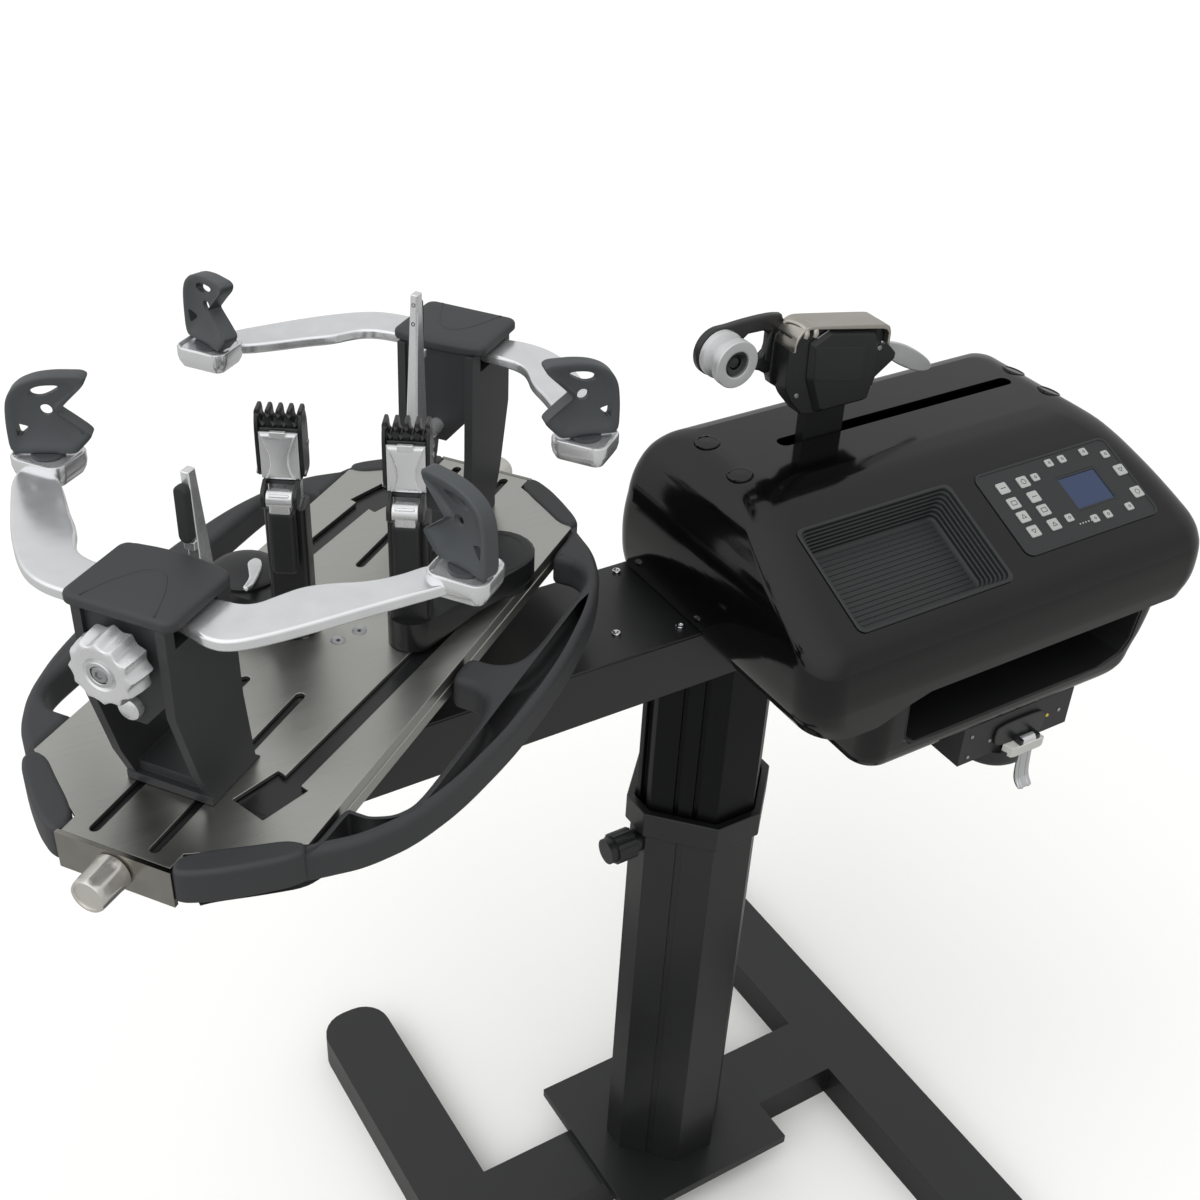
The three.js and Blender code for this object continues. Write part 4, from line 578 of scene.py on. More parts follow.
def frame_holder(end, hand):
    """A K-shaped holder: a thick rim that falls away to a thin web round the string hole."""
    place = holder_frame(end, hand)
    upright = place @ turn(90, "X")
    outline = eased(scaled(HOLDER_OUTLINE, *HOLDER_SPAN), 2, 0.22)
    middle = Vector(scaled([(0.48, 0.54)], *HOLDER_SPAN)[0])

    def face_ring(share, height):
        points = []
        for point in outline:
            out = Vector(point) - middle
            reach = STRING_HOLE + (out.length - STRING_HOLE) * share
            points.append((*(middle + out.normalized() * reach), height))
        return points

    def opening(shares, rounds, share, low):
        return slab(upright, [eased(scaled(shares, *HOLDER_SPAN), rounds, share)], low, 9)
    front = [face_ring(share, height) for share, height in HOLDER_FACE]
    behind = [face_ring(share, -height) for share, height in reversed(HOLDER_FACE)]
    plate = rings(upright, front + behind + front[:1], closed=False)
    openings = [opening(HOLDER_LENS, 2, 0.25, -9), opening(HOLDER_CORNER, 2, 0.15, -9),
                opening(HOLDER_SLIT, 1, 0.25, 5.4)]
    plate = edged(carved(plate, openings), 0.6, 2, 40)
    foot = turned(place, [(0, 176.7), (12.4, 176.7), (13, 177.3), (13, 180.4), (0, 180.6)])
    gathered(f"frame_holder_{end}_{hand}", {HOLDER_GREY: [plate, foot]}, f"holder_{end}_{hand}")


# Side arms: a polished blade from the tower to a rimmed platform, its edges drawn as shares of the reach
ARM_OUTER = [(0.5, 0.26), (0.515, 0.34), (0.495, 0.44), (0.42, 0.54), (0.253, 0.65), (0.02, 0.77), (-0.295, 0.905),
             (-0.6, 1.03), (-0.85, 1.06)]
ARM_INNER = [(-0.85, 0.9), (-0.59, 0.747), (-0.4, 0.65), (-0.232, 0.545), (-0.084, 0.495), (0.03, 0.44),
             (0.085, 0.36), (0.095, 0.25)]
# The front right arm is the straighter casting
STRAIGHT_OUTER = [(0.5, 0.26), (0.555, 0.33), (0.54, 0.42), (0.39, 0.51), (0.09, 0.635), (-0.23, 0.755),
                  (-0.6, 0.9), (-0.9, 1.02)]
STRAIGHT_INNER = [(-1.04, 0.9), (-0.98, 0.84), (-0.75, 0.768), (-0.575, 0.68), (-0.44, 0.56), (-0.305, 0.475),
                  (-0.11, 0.42), (0.02, 0.385), (0.085, 0.33), (0.095, 0.25)]
PLATFORM_SECTION = [(8, 159), (4, 160), (1.2, 165), (0, 170), (0, 177.4), (0.7, 178.8), (2, 179.2), (3.2, 178.7),
                    (4.6, 176.9), (8, 176.5)]
ARM_PIVOT = (28, 17)


def side_arm(end, hand):
    """A flat arm with a hole round its pivot and a raised rim round the platform at its end."""
    side = HAND_SIDE[end, hand]
    place = TOWERS[end]
    is_straight = (end, hand) == ("front", "right")
    edges = STRAIGHT_OUTER + STRAIGHT_INNER if is_straight else ARM_OUTER + ARM_INNER
    along, out = ARM_REACH
    pivot_x, pivot_y = ARM_PIVOT
    reach = [(x * along, y * out * side) for x, y in edges]
    heel = [(x, y * side) for x, y in arc(pivot_x, pivot_y, 14, 180, 180, 8)]
    blade = slab(place, [eased(reach + heel, 3), circle(pivot_x, pivot_y * side, 5.4, 24)], 164, 174, 2.6, 3)

    def platform_at(inset):
        return [(x - along, y + out * side) for x, y in
                round_rect(*inside((-21.5, 21.5, -25, 25), inset), 11 - min(inset, 6))]
    platform = stacked(place, platform_at, PLATFORM_SECTION)
    gathered(f"side_arm_{end}_{hand}", {POLISHED: [blade, platform]}, f"arm_{end}_{hand}")


# Towers: caps with a raised lip, and star knobs
def cap_outline(inset):
    """The cap from above: a rounded box whose inner side bulges towards the racket."""
    inner, outer, wide, corner = -9 + inset, 66 - inset, 46 - inset, 9 - min(inset, 6)
    bulge = [(inner - 4.5 * math.cos(math.pi / 2 * y / 40), y) for y in (34, 20, 7, -7, -20, -34)]
    return (arc(outer - corner, corner - wide, corner, 270) + arc(outer - corner, wide - corner, corner, 0)
            + arc(inner + corner, wide - corner, corner, 90) + bulge
            + arc(inner + corner, corner - wide, corner, 180))


CAP_SECTION = [(3, 178.3), (0.6, 178.5), (0, 179.6), (0, 184), (0.7, 185.6), (2.2, 186.7), (5, 187.2), (12, 187.5)]


def tower(end):
    place = TOWERS[end]
    body = rounded(f"tower_body_{end}", 2.2, 3)
    cap = stacked(place, cap_outline, CAP_SECTION)
    lip_points = [(62 - 48 * (1 - (y / 30) ** 2), y, 187.1) for y in range(-30, 31, 6)]
    lip = rod_along(place, lip_points, 0.9)
    gathered(f"tower_{end}_dressed", {TOWER_COAT: [body], GREY_NYLON: [cap, lip]}, f"tower_body_{end}",
             f"tower_cap_{end}")


# The knob's rings from its back to its dished centre: height, radius, depth of the hollows
STAR_RINGS = [(0, 24, 1.5), (0.8, 27.6, 3.4), (3, 28.5, 4.4), (12, 27.9, 4.6), (20, 26.6, 3.8), (22.6, 25.4, 2.6),
              (23.6, 23.4, 1.4), (23.9, 20, 0.4), (22.9, 13.4, 0), (21.6, 12.2, 0), (21.2, 11, 0)]
STAR_POINTS = 12


def star_ring(height, radius, depth):
    """One ring of the star knob, with a hollow of this depth between each two of its points."""
    points = []
    for i in range(120):
        a = math.tau * i / 120
        r = radius - depth * (0.5 - 0.5 * math.cos(STAR_POINTS * a)) ** 0.6
        points.append((r * math.cos(a), r * math.sin(a), height))
    return points


def star_knob(end):
    place = TOWERS[end] @ shift(66, 0, 147) @ turn(90, "Y")
    star = rings(place, [star_ring(*ring) for ring in STAR_RINGS])
    collar = turned(place, [(0, -5.6), (14.2, -5.6), (15, -4.8), (15, 1), (0, 1)])
    shaft = turned(place, [(0, -32), (6, -32), (6, -5), (0, -5)], 24)
    ring = turned(place, [(0, 20.5), (10.6, 20.5), (10.6, 22.9), (9.8, 23.6), (7.4, 23.6), (6.8, 22.8), (6.8, 21.2),
                          (0, 21.2)])
    screw = socket_head(6.2, 2.2, 6)
    screw.transform(place @ shift(0, 0, 21.2) @ MM.inverted())
    gathered(f"star_knob_{end}", {CAST_SILVER: [star, collar], CHROME: [shaft, ring], SCREW_STEEL: [screw]},
             f"arm_knob_{end}")


# Centre supports and their pads
def centre_support(end):
    place = TOWERS[end] @ shift(SUPPORT_SHIFT[end], 0, 0)
    foot, top = 87, 245
    blade_rings = []
    for z, inset in ((foot, 0.6), (foot + 0.6, 0), (top - 0.6, 0), (top, 0.6)):
        lift = (z - foot) / (top - foot)
        plan = round_rect(-62 + 12.5 * lift + inset, -40 - inset, -6.5 + 3 * lift + inset, 6.5 - 3 * lift - inset,
                          1.6 - inset)
        blade_rings.append([(x, y, z) for x, y in plan])
    blade = rings(place, blade_rings)
    axis = place @ shift(0, 0, 101) @ turn(90, "Y")
    reach = 68 - SUPPORT_SHIFT[end]
    boss = turned(axis, [(0, -55), (7, -55), (12.4, -54.4), (14, -52), (14, -42), (12.6, -40), (0, -40)])
    shaft = turned(axis, [(0, -41), (7, -41), (7, reach - 9), (8.8, reach - 8), (9.4, reach - 5),
                          (8.8, reach - 1.6), (6, reach), (0, reach + 0.4)], 36)
    ledge = slab(place, [round_rect(-41, -36, -4.5, 4.5, 1)], 183, 190, 0.6)
    holes = set_out(f"support_screws_{end}", facing_points(place, [(-50, 0, 236), (-51.4, 0, 219)], (-1, 0, 0.08)),
                    socket_head(1.9, 0.3, 2.2))
    gathered(f"centre_support_{end}_dressed",
             {POLISHED: [blade, boss, ledge], CAST_SILVER: [shaft], BLACK_STEEL: [holes]}, f"centre_support_{end}")
    depth, half, low = {"front": (8, 5.4, 190.4), "rear": (3.4, 2.6, 192)}[end]
    outline = [(y, z) for z, y in capsule(low + half, 237 - half, 0, half)]
    pad = slab(sideways(place @ shift(-39.8, 0, 0)), [outline], 0, depth, min(half, depth) * 0.4, 4)
    gathered(f"support_pad_{end}_moulded", {PAD_RUBBER: [pad]}, f"support_pad_{end}")


# String clamps: a toothed comb between two cheeks, with a waisted link in front of it
CLAMP_CHEEK = [(-12, 153), (-12, 196), (-9, 208), (-4, 211), (4, 211), (8, 206), (12, 196), (12, 158), (8, 153)]
CLAMP_EAR = [(-29, 134), (-29, 145), (-25, 150), (-11, 155), (-11, 138), (-18, 134)]
CLAMP_LINK = [(-14.5, 194.5), (14.5, 194.5), (12.6, 190), (8.2, 176), (7.6, 168), (9.5, 160), (12.5, 154.5),
              (-12.5, 154.5), (-9.5, 160), (-7.6, 168), (-8.2, 176), (-12.6, 190)]
TOOTH_SPACING = 8.5
TEETH = [-17 + i * TOOTH_SPACING for i in range(5)]


def clamp_head(label):
    place = CLAMPS[label]
    front = place @ turn(90, "X")
    core = slab(place, [round_rect(-16.5, 16.5, -9.5, 11.5, 2)], 152, 198, 1)
    stem = slab(place, [round_rect(-13, 13, -8, 8, 2)], 75, 153, 0.5)
    root = slab(place, [round_rect(-14.5, 14.5, -13, 8, 1.5)], 149, 153, 0.6)
    sides = []
    for side in (-1, 1):
        sides.append(slab(sideways(place @ shift(side * 17.5, 0, 0)), [eased(CLAMP_CHEEK, 2, 0.2)], -1.5, 1.5, 0.6))
        sides.append(slab(sideways(place @ shift(side * 13.05, 0, 0)), [eased(CLAMP_EAR, 1, 0.2)], -1.75, 1.75, 0.6))
    top = [(-19, 196), (-19, 209)]
    for x in TEETH:
        top += [(x - 2.2, 210), (x - 1.4, 213), (x + 1.4, 213), (x + 2.2, 210)]
        if x != TEETH[-1]:
            top += [(x + 2.6, 204), (x + 4.25, 201.6), (x + 5.9, 204)]
    comb = slab(front, [eased(top + [(19, 209), (19, 196)], 1, 0.2)], -7, 7, 0.9)
    diamonds = [(x, -7, 207) for x in TEETH] + [(x + TOOTH_SPACING / 2, -7, 199.5) for x in TEETH[:-1]]
    studs = set_out(f"comb_diamonds_{label}", facing_points(place, diamonds, TO_FRONT), diamond_stud(2.6, 2.2))
    backing = slab(front, [[(-15.5, 154), (15.5, 154), (15.5, 195.5), (-15.5, 195.5)]], 10, 12.6, 0.5)
    link = slab(front, [CLAMP_LINK], 12, 15.2, 1.6, 1)
    catch = slab(front, [round_rect(-6.5, 6.5, 192, 197.5, 0.8)], 12, 15.6, 0.5)
    heads = [head for side in (1, -1)
             for head in facing_points(place, [(side * 18.8, -8, 158), (side * 18.8, 7, 178)], (side, 0, 0))]
    pins = set_out(f"clamp_pins_{label}", heads, socket_head(2.6, 1.2, 2.2))
    gathered(f"clamp_jaws_{label}", {BLACK_STEEL: [core, comb, studs, root, *sides], POLISHED: [stem, link],
                                     CAST_SILVER: [backing, catch], SCREW_STEEL: [pins]}, f"clamp_head_{label}")


def diamond_stud(half, height):
    """One raised diamond of the comb's gripping face."""
    sections = [[(half * s * math.cos(a), 1.5 * half * s * math.sin(a), z)
                 for a in (0, math.pi / 2, math.pi, math.pi * 1.5)] for s, z in ((1, -0.4), (1, 0), (0.12, height))]
    return rings(MM, sections)


def clamp_lever(label):
    place = CLAMPS[label]
    front = place @ turn(90, "X")
    grip = slab(front, [round_rect(-11, 11, 70, 131, 5)], 13.9, 27.6, 4.2, 4)
    neck = slab(front, [round_rect(-8.5, 8.5, 129, 147, 1.5)], 15.5, 27.8, 1.6, 2)
    hinge = barrel(place @ shift(0, -22, 141) @ turn(90, "Y"), 7, 10.8, 0.6)
    gathered(f"clamp_grip_{label}", {BLACK_MOULDING: [grip], CAST_SILVER: [neck, hinge]}, f"clamp_lever_{label}")


# The left clamp's lock lever from above, and what shows of each clamp's drum
LOCK_LEVER = [(12, 82), (3, 84), (-7, 76), (-16, 69.5), (-26, 67), (-31, 66.5), (-32.5, 61.5), (-26, 60),
              (-14, 62.5), (3, 68.5), (12, 75)]
DRUM_LID = {"right": [(0, 28.6), (33, 28.6), (33.2, 29.2), (31, 30.6), (24, 31.2), (23.4, 30.8), (21, 31.4), (0, 32)],
            "left": [(0, 28.6), (31, 28.6), (31.2, 31), (28, 34), (20, 36.4), (10, 37.4), (0, 37.6)]}
DRUM_CENTRE = {"right": (132, -94.9, 0), "left": (3, 86.7, 0)}


def clamp_stand(label):
    """The swinging post with its drum's lid, and the base that slides in the plate."""
    lid = turned(PLATE @ shift(*DRUM_CENTRE[label]), DRUM_LID[label], 64)
    gathered(f"clamp_post_{label}_dressed",
             {BLACK_STEEL: [rounded(f"clamp_post_{label}", 2.6, 3)], BLACK_MOULDING: [lid]}, f"clamp_post_{label}")
    base = {BLACK_STEEL: [rounded(f"clamp_base_{label}", 0.3, 1)]}
    if label == "left":
        base[POLISHED] = [slab(PLATE, [eased(LOCK_LEVER, 2, 0.22)], 36.8, 41, 1.7, 3)]
    gathered(f"clamp_base_{label}_dressed", base, f"clamp_base_{label}")


# Bumper rings round the plate: a quarter of the outside as shares of the half length and half width, and the
# same quarter of the inside, with a hand opening
BUMPER_HALF = (300, 203)
BUMPER_OUTSIDE = [(0.97, 0.33), (0.93, 0.42), (0.865, 0.545), (0.795, 0.655), (0.725, 0.765), (0.606, 0.872),
                  (0.437, 0.945), (0.2, 0.99)]
BUMPER_INSIDE = [(295, 56), (284, 67), (264, 94), (240.5, 122.6), (190, 122.6), (190, 136), (190, 145), (182, 159),
                 (168, 167), (150, 169), (100, 169), (60, 169), (36, 165), (24, 158), (18, 146), (18, 122.6)]
# The fatter pieces that overlap the plate's corners
BUMPER_CORNER = [(307, 50.4), (305, 60), (295, 77), (279, 97), (261, 117), (250, 125), (240, 120), (243, 106),
                 (258, 86), (275, 62), (286, 50), (296, 45)]


def bumper(name, side):
    """A soft-edged ring along one long side, with a thicker piece over each of its two corners."""
    long, wide = BUMPER_HALF
    right = BUMPER_INSIDE[::-1] + [(296, 62)] + [(x * long, y * wide) for x, y in BUMPER_OUTSIDE]
    left = [(-x, y) for x, y in reversed(right)]
    ring = [(x, y * side) for x, y in right + [(0, wide)] + left]
    skin = slab(PLATE, [eased(ring, 3, 0.2)], -35, -2, 7.5, 4)
    corners = [slab(PLATE, [eased([(x * end, y * side) for x, y in BUMPER_CORNER], 2, 0.2)], -30, 1.9, 4.4, 4)
               for end in (-1, 1)]
    gathered(name + "_moulded", {GREY_NYLON: [skin, *corners]}, name)


# Turntable plate, end plates and their adjusters
def turntable_top():
    plate = rounded("turntable_plate", 0.6)
    spots = [(-15, -15, 0), (29, -11, 0), (-20, 16, 0), (25, 20, 0), (5, -24, 0), (4, 25, 0)]
    screws = set_out("plate_screws", facing_points(PLATE, spots, UP), countersunk(6.4, 3.4))
    floors = set_out("plate_sockets", facing_points(PLATE, spots, UP), socket_floor(3.2))
    gathered("turntable_plate_brushed", {PLATE_STEEL: [plate], SCREW_STEEL: [screws], BLACK_STEEL: [floors]},
             "turntable_plate")
    plate_runners()
    for end, side in (("front", -1), ("rear", 1)):
        adjuster(end, side)


def plate_runners():
    """Folded steel under the plate: it carries the sliding towers and clamps and shuts the slots to the light."""
    folds = []
    half = 19
    for half_turn in (0, 180):
        under = PLATE @ turn(half_turn)
        folds.append(slab(under, [round_rect(88, 298, -37, 37, 3)], -9, -4.6, 0.6))
        for y in (-37, 37):
            folds.append(slab(under, [round_rect(88, 298, y - 1.2, y + 1.2, 0.5)], -24, -5, 0.4))
        low, high = Vector((-205, -74.5)), Vector((150, -96))
        along = (high - low).normalized() * half
        side = Vector((-along.y, along.x))
        low, high = low - along, high + along
        strip = [tuple(low + side), tuple(low - side), tuple(high - side), tuple(high + side)]
        folds.append(slab(under, [strip], -8.4, -4.6, 0.6))
        pocket = under @ shift(-207, -69, 0) @ turn(-17)
        folds.append(slab(pocket, [round_rect(-25, 25, -20, 20, 3)], -9.6, -5, 0.6))
    gathered("plate_runners", {BLACK_STEEL: folds}, body="turntable")


# The adjusting knob's rings outwards: height, radius, and how far its eight flats come through
KNOB_RINGS = [(307.6, 12.5, 0), (307.6, 14.6, 0), (308.8, 15.5, 0), (313, 15.4, 0.3), (317, 15, 1), (333, 14.6, 1),
              (336.6, 14.4, 0.4), (338.2, 13.6, 0), (338.6, 12.6, 0), (338.4, 11.6, 0), (337.2, 11.2, 0),
              (337.1, 9, 0)]


def knob_ring(height, radius, flat):
    """One ring of the adjusting knob: round at flat 0, with eight flats at 1."""
    points = []
    sector = math.radians(45)
    for i in range(96):
        a = math.tau * i / 96
        corner = radius * math.cos(sector / 2) / math.cos((a % sector) - sector / 2)
        r = radius * (1 - flat) + min(radius, corner * 1.03) * flat
        points.append((r * math.cos(a), r * math.sin(a), height))
    return points


def adjuster(end, side):
    place = PLATE @ turn(0 if side > 0 else 180)
    axis = place @ shift(0, 0, -17) @ turn(90, "Y")
    gathered(f"end_plate_{end}_plated", {BRIGHT_NICKEL: [rounded(f"end_plate_{end}", 1.2, 3)]}, f"end_plate_{end}")
    rod = turned(axis, [(0, 112), (5.4, 112), (6, 112.6), (6, 302), (5, 302), (5, 308.6), (0, 308.6)], 32)
    knob = rings(axis, [knob_ring(*ring) for ring in KNOB_RINGS])
    gathered(f"adjuster_{end}_turned", {CHROME: [rod], KNOB_NICKEL: [knob]}, f"adjuster_{end}")


# Tension head: a crowned, polished cover with a tray, a keypad and the carriage's slot
COVER_LIP = -98
COVER_TOP = 61
# Each edge of the cover as (height, position), from the lower lip to the flat top
COVER_LEFT = [(-98, -62), (-80, -75), (-60, -79), (-24, -80), (16.2, -72), (44, -55), (57, -34), (61, -12), (61, 12)]
COVER_RIGHT = [(-98, 404), (-75, 414), (-57, 425), (-27.5, 429), (13.8, 423.9), (45.7, 408.8), (61, 383.5),
               (61, 350)]
COVER_FRONT = [(-98, -249), (-75, -252), (-57, -254), (-24, -250.5), (-10, -242.6), (-3, -233.1), (0, -226.4),
               (46, -123.8), (48.96, -117.2), (59, -84), (61, -56)]
COVER_BACK = [(-98, 83), (-60, 88), (19.7, 88), (44.5, 83.9), (57, 76), (61, 60)]
# Places on the sloping front: left, right, lower and upper edge
TRAY_BOX = (-17, 168, -120, -4)
KEYPAD_BOX = (199, 378, -104, -5)
DISPLAY_BOX = (288, 343, -75, -33)


def edge_line(points, rounds=3):
    """An edge of the cover or the bowl as a smooth curve."""
    return eased(points, rounds, 0.22, closed=False)


def at_height(line, height):
    """The position of an edge line at one height."""
    for (low, a), (high, b) in zip(line, line[1:]):
        if low <= height <= high and high - low > 1e-6:
            return a + (b - a) * (height - low) / (high - low)
    return line[-1][1]


def cover_rings(wall):
    """The rounded plans of the cover from its lip up to its top, each drawn in by the wall."""
    lines = [edge_line(line) for line in (COVER_LEFT, COVER_RIGHT, COVER_FRONT, COVER_BACK)]
    heights = [COVER_LIP]
    for height in sorted(height for line in lines for height, _ in line):
        if height > heights[-1] + 0.4:
            heights.append(height)
    plans = []
    for height in heights:
        if COVER_LIP < height < COVER_LIP + wall + 1:
            continue
        box = inside([at_height(line, height) for line in lines], wall)
        rise = max(0, min(1, height / 60))
        plan = round_rect(*box, 36 - 4 * rise - wall, 9, 30 - 12 * rise - wall)
        plans.append([(x, y, max(height - wall, COVER_LIP)) for x, y in plan])
    return plans


def crown_height(x):
    """The height of the cover over a place along its crown."""
    for line in (COVER_LEFT, COVER_RIGHT):
        points = edge_line(line)
        for (low, a), (high, b) in zip(points, points[1:]):
            if low > 0 and min(a, b) <= x <= max(a, b) and a != b:
                return low + (high - low) * (x - a) / (b - a)
    return COVER_TOP


# Bowl under the cover, from its floor up to the deck, and the mouth in its front
BOWL_FLOOR = -168
BOWL_TOP = -57.6
BOWL_LEFT = [(-168, 14), (-162, 4.5), (-148, 2), (-57.6, 2)]
BOWL_RIGHT = [(-168, 322), (-160, 341), (-149.9, 356.2), (-129.5, 360), (-111.2, 368.6), (-84.2, 375.7),
              (-57.6, 378)]
BOWL_FRONT = [(-168, -228), (-159, -241.5), (-142, -246.5), (-57.6, -246.5)]
BOWL_BACK = [(-168, 59), (-152, 78), (-57.6, 78)]
MOUTH = [(38, -66), (41.1, -130.8), (53.4, -141), (301.3, -141), (331.2, -131), (341.4, -116.9), (346, -84.8),
         (346, -66)]


def bowl_rings(wall):
    """The rounded plans of the bowl from its floor to the deck; the walls thin out towards the top."""
    lines = [edge_line(line, 2) for line in (BOWL_LEFT, BOWL_RIGHT, BOWL_FRONT, BOWL_BACK)]
    heights = sorted({round(height, 1) for line in lines for height, _ in line})
    plans = []
    for height in heights:
        box = inside([at_height(line, height) for line in lines], wall)
        plan = round_rect(*box, 24 - wall, 9)
        level = height + wall * (BOWL_TOP - height) / (BOWL_TOP - BOWL_FLOOR)
        plans.append([(x, y, level) for x, y in plan])
    return plans


def bowl():
    shell = rings(HEAD, list(reversed(bowl_rings(0))) + bowl_rings(4))
    beam_bay = slab(HEAD, [round_rect(-6, 80.4, -71, 71, 1)], -172, -79.6)
    mouth = slab(UPRIGHT, [eased(MOUTH, 1, 0.12)], 222, 252)
    deck = slab(HEAD, [round_rect(-70, 420, -246, 82, 34)], -62, -57.5, 0.5)
    shell = edged(carved(shell, [beam_bay, mouth]), 0.8, 2, 40)
    gathered("bowl_and_deck", {PIANO_BLACK: [shell], BLACK_STEEL: [deck]}, "chassis")
    # The lining's colour is black plastic darkened further as painted shade for the bin's hollow
    gathered("bin_lining", {BIN_BLACK_WITH_PAINTED_SHADE: [rounded("storage_bin", 1.0)]}, "storage_bin")


def tension_cover():
    shell = rings(HEAD, list(reversed(cover_rings(3))) + cover_rings(0))
    plugs = []
    seats = []
    for x, y in ((-9, 33), (-16, -32), (385, 17), (385.5, -35.5)):
        low, high = crown_height(x - 9), crown_height(x + 9)
        seat = HEAD @ shift(x, y, (low + high) / 2 + 0.5) @ turn(-math.degrees(math.atan2(high - low, 18)), "Y")
        seats.append(slab(seat, [circle(0, 0, 13, 48)], -8, 6))
        plugs.append(turned(seat, [(0, -3), (12.5, -3), (12.5, 0.4), (12.1, 1.1), (11.3, 1.3), (10.7, 0.8),
                                   (10.2, 0.4), (0, 0.8)]))
    rise = slab(UPRIGHT, [[(2, -106), (440, -106), (440, -75), (60, -75), (36, -83), (14, -93), (2, -98)]], -100, 300)
    beam_bay = slab(HEAD, [round_rect(-90, 120, -71, 71, 2)], -110, -79.6)
    slot = slab(HEAD, [capsule(61, 353, 0, 8)], 50, 70)
    wells = [slab(SLOPE, [round_rect(*box, 9)], -14, 12) for box in (TRAY_BOX, KEYPAD_BOX)]
    cover = edged(carved(shell, [rise, beam_bay, slot, *wells, *seats]), 0.5, 2, 50)
    gathered("tension_cover", {PIANO_BLACK: [cover, *plugs]}, "housing_cover")


TRAY_STEPS = 7


def tool_tray():
    def tray_at(inset):
        return round_rect(*inside(TRAY_BOX, 0.4 + inset), 8)
    section = [(14, -30), (1.5, -3), (0, -1), (-1.2, 0.2), (-1.2, 1.2), (-0.4, 1.9), (1.4, 1.9), (2.2, 1.2)]
    for i in range(TRAY_STEPS):
        inset, z = 2.4 + i * 1.85, 0.6 - i * 3.9
        section += [(inset, z), (inset + 0.5, z - 3.2), (inset + 1.3, z - 3.9)]
    section += [(15.8, -27.6), (20, -28)]
    body = stacked(SLOPE, tray_at, section)
    rib = slab(MM, [round_rect(-73, 73, -0.55, 0.55, 0.5, 2)], -0.3, 0.8, 0.25, 1)
    ribs = set_out("tray_ribs", facing_points(SLOPE, [(75.5, -102 + i * 5.2, -28) for i in range(16)], UP), rib)
    gathered("tool_tray_ribbed", {PANEL: [body, ribs]}, "tool_tray")


# Keys as shares of the keypad's width and height, from its upper left corner
BIG_KEYS = [(0.134, 0.22), (0.134, 0.41), (0.134, 0.58), (0.134, 0.76), (0.285, 0.22), (0.285, 0.41),
            (0.285, 0.58), (0.285, 0.76), (0.95, 0.42), (0.95, 0.71)]
SMALL_KEYS = [(0.38, 0.21), (0.405, 0.745), (0.53, 0.105), (0.63, 0.105), (0.8, 0.1), (0.93, 0.2), (0.56, 0.84),
              (0.66, 0.84), (0.83, 0.835)]


def key_spots(shares, z):
    left, right, low, top = KEYPAD_BOX
    return facing_points(SLOPE, [(left + sx * (right - left), top - sy * (top - low), z) for sx, sy in shares], UP)


def keypad():
    panel = slab(SLOPE, [round_rect(*inside(KEYPAD_BOX, 0.4), 8.6), round_rect(*DISPLAY_BOX, 1.9)], -1.9, 0.7, 0.5)
    rim = slab(SLOPE, [round_rect(*inside(KEYPAD_BOX, -0.6), 9.6), round_rect(*inside(KEYPAD_BOX, 2.2), 7)], -1, 1.5,
               0.6)
    gathered("keypad_plate", {PANEL: [panel, rim]}, "keypad_panel")
    keys, marks = [], []
    for name, shares, half in (("big_keys", BIG_KEYS, 6.4), ("small_keys", SMALL_KEYS, 4.4)):
        cap = slab(MM, [round_rect(-half, half, -half, half, 1.6, 4)], -1, 1.3, 0.6, 2)
        keys.append(set_out(name, key_spots(shares, 0.6), cap))
    signs = [[round_rect(-3.4, 3.4, -0.35, 0.35, 0.2, 2)],
             [round_rect(-3.4, 3.4, -2.6, 2.6, 0.6, 2), round_rect(-2.8, 2.8, -2, 2, 0.4, 2)],
             [[(-3, -2), (3, -2), (0, 3)], [(-2, -1.4), (2, -1.4), (0, 1.9)]],
             [[(-3, 2), (3, 2), (0, -3)], [(-2, 1.4), (2, 1.4), (0, -1.9)]],
             [circle(0, 0, 3, 20), circle(0, 0, 2.4, 20)]]
    for i, outlines in enumerate(signs):
        mark = slab(MM, outlines, -0.1, 0.1)
        marks.append(set_out(f"key_marks_{i}", key_spots(BIG_KEYS[i::len(signs)], 1.9), mark))
    dot = slab(MM, [circle(0, 0, 1.5, 16), circle(0, 0, 0.9, 16)], -0.1, 0.1)
    marks.append(set_out("small_key_marks", key_spots(SMALL_KEYS, 1.9), dot))
    lights = [(279 + i * 3.8, -88.5, 0.9) for i in range(5)]
    lens = turned(MM, [(0, -0.3), (0.9, -0.3), (0.9, 0.2), (0.5, 0.5), (0, 0.55)], 12)
    keys.append(set_out("keypad_lights", facing_points(SLOPE, lights, UP), lens))
    gathered("keypad_keys", {KEY_GREY: keys, PANEL: marks}, "keypad_membrane")
    ring = slab(SLOPE, [round_rect(*DISPLAY_BOX, 1.9), round_rect(*inside(DISPLAY_BOX, 2.4), 1.2)], -1.2, 0.5, 0.3)
    glass = slab(SLOPE, [round_rect(*inside(DISPLAY_BOX, 0.6), 1.5)], -1.7, -0.5, 0.2)
    gathered("display_glass", {PANEL: [ring], SCREEN: [glass]}, "display_window")


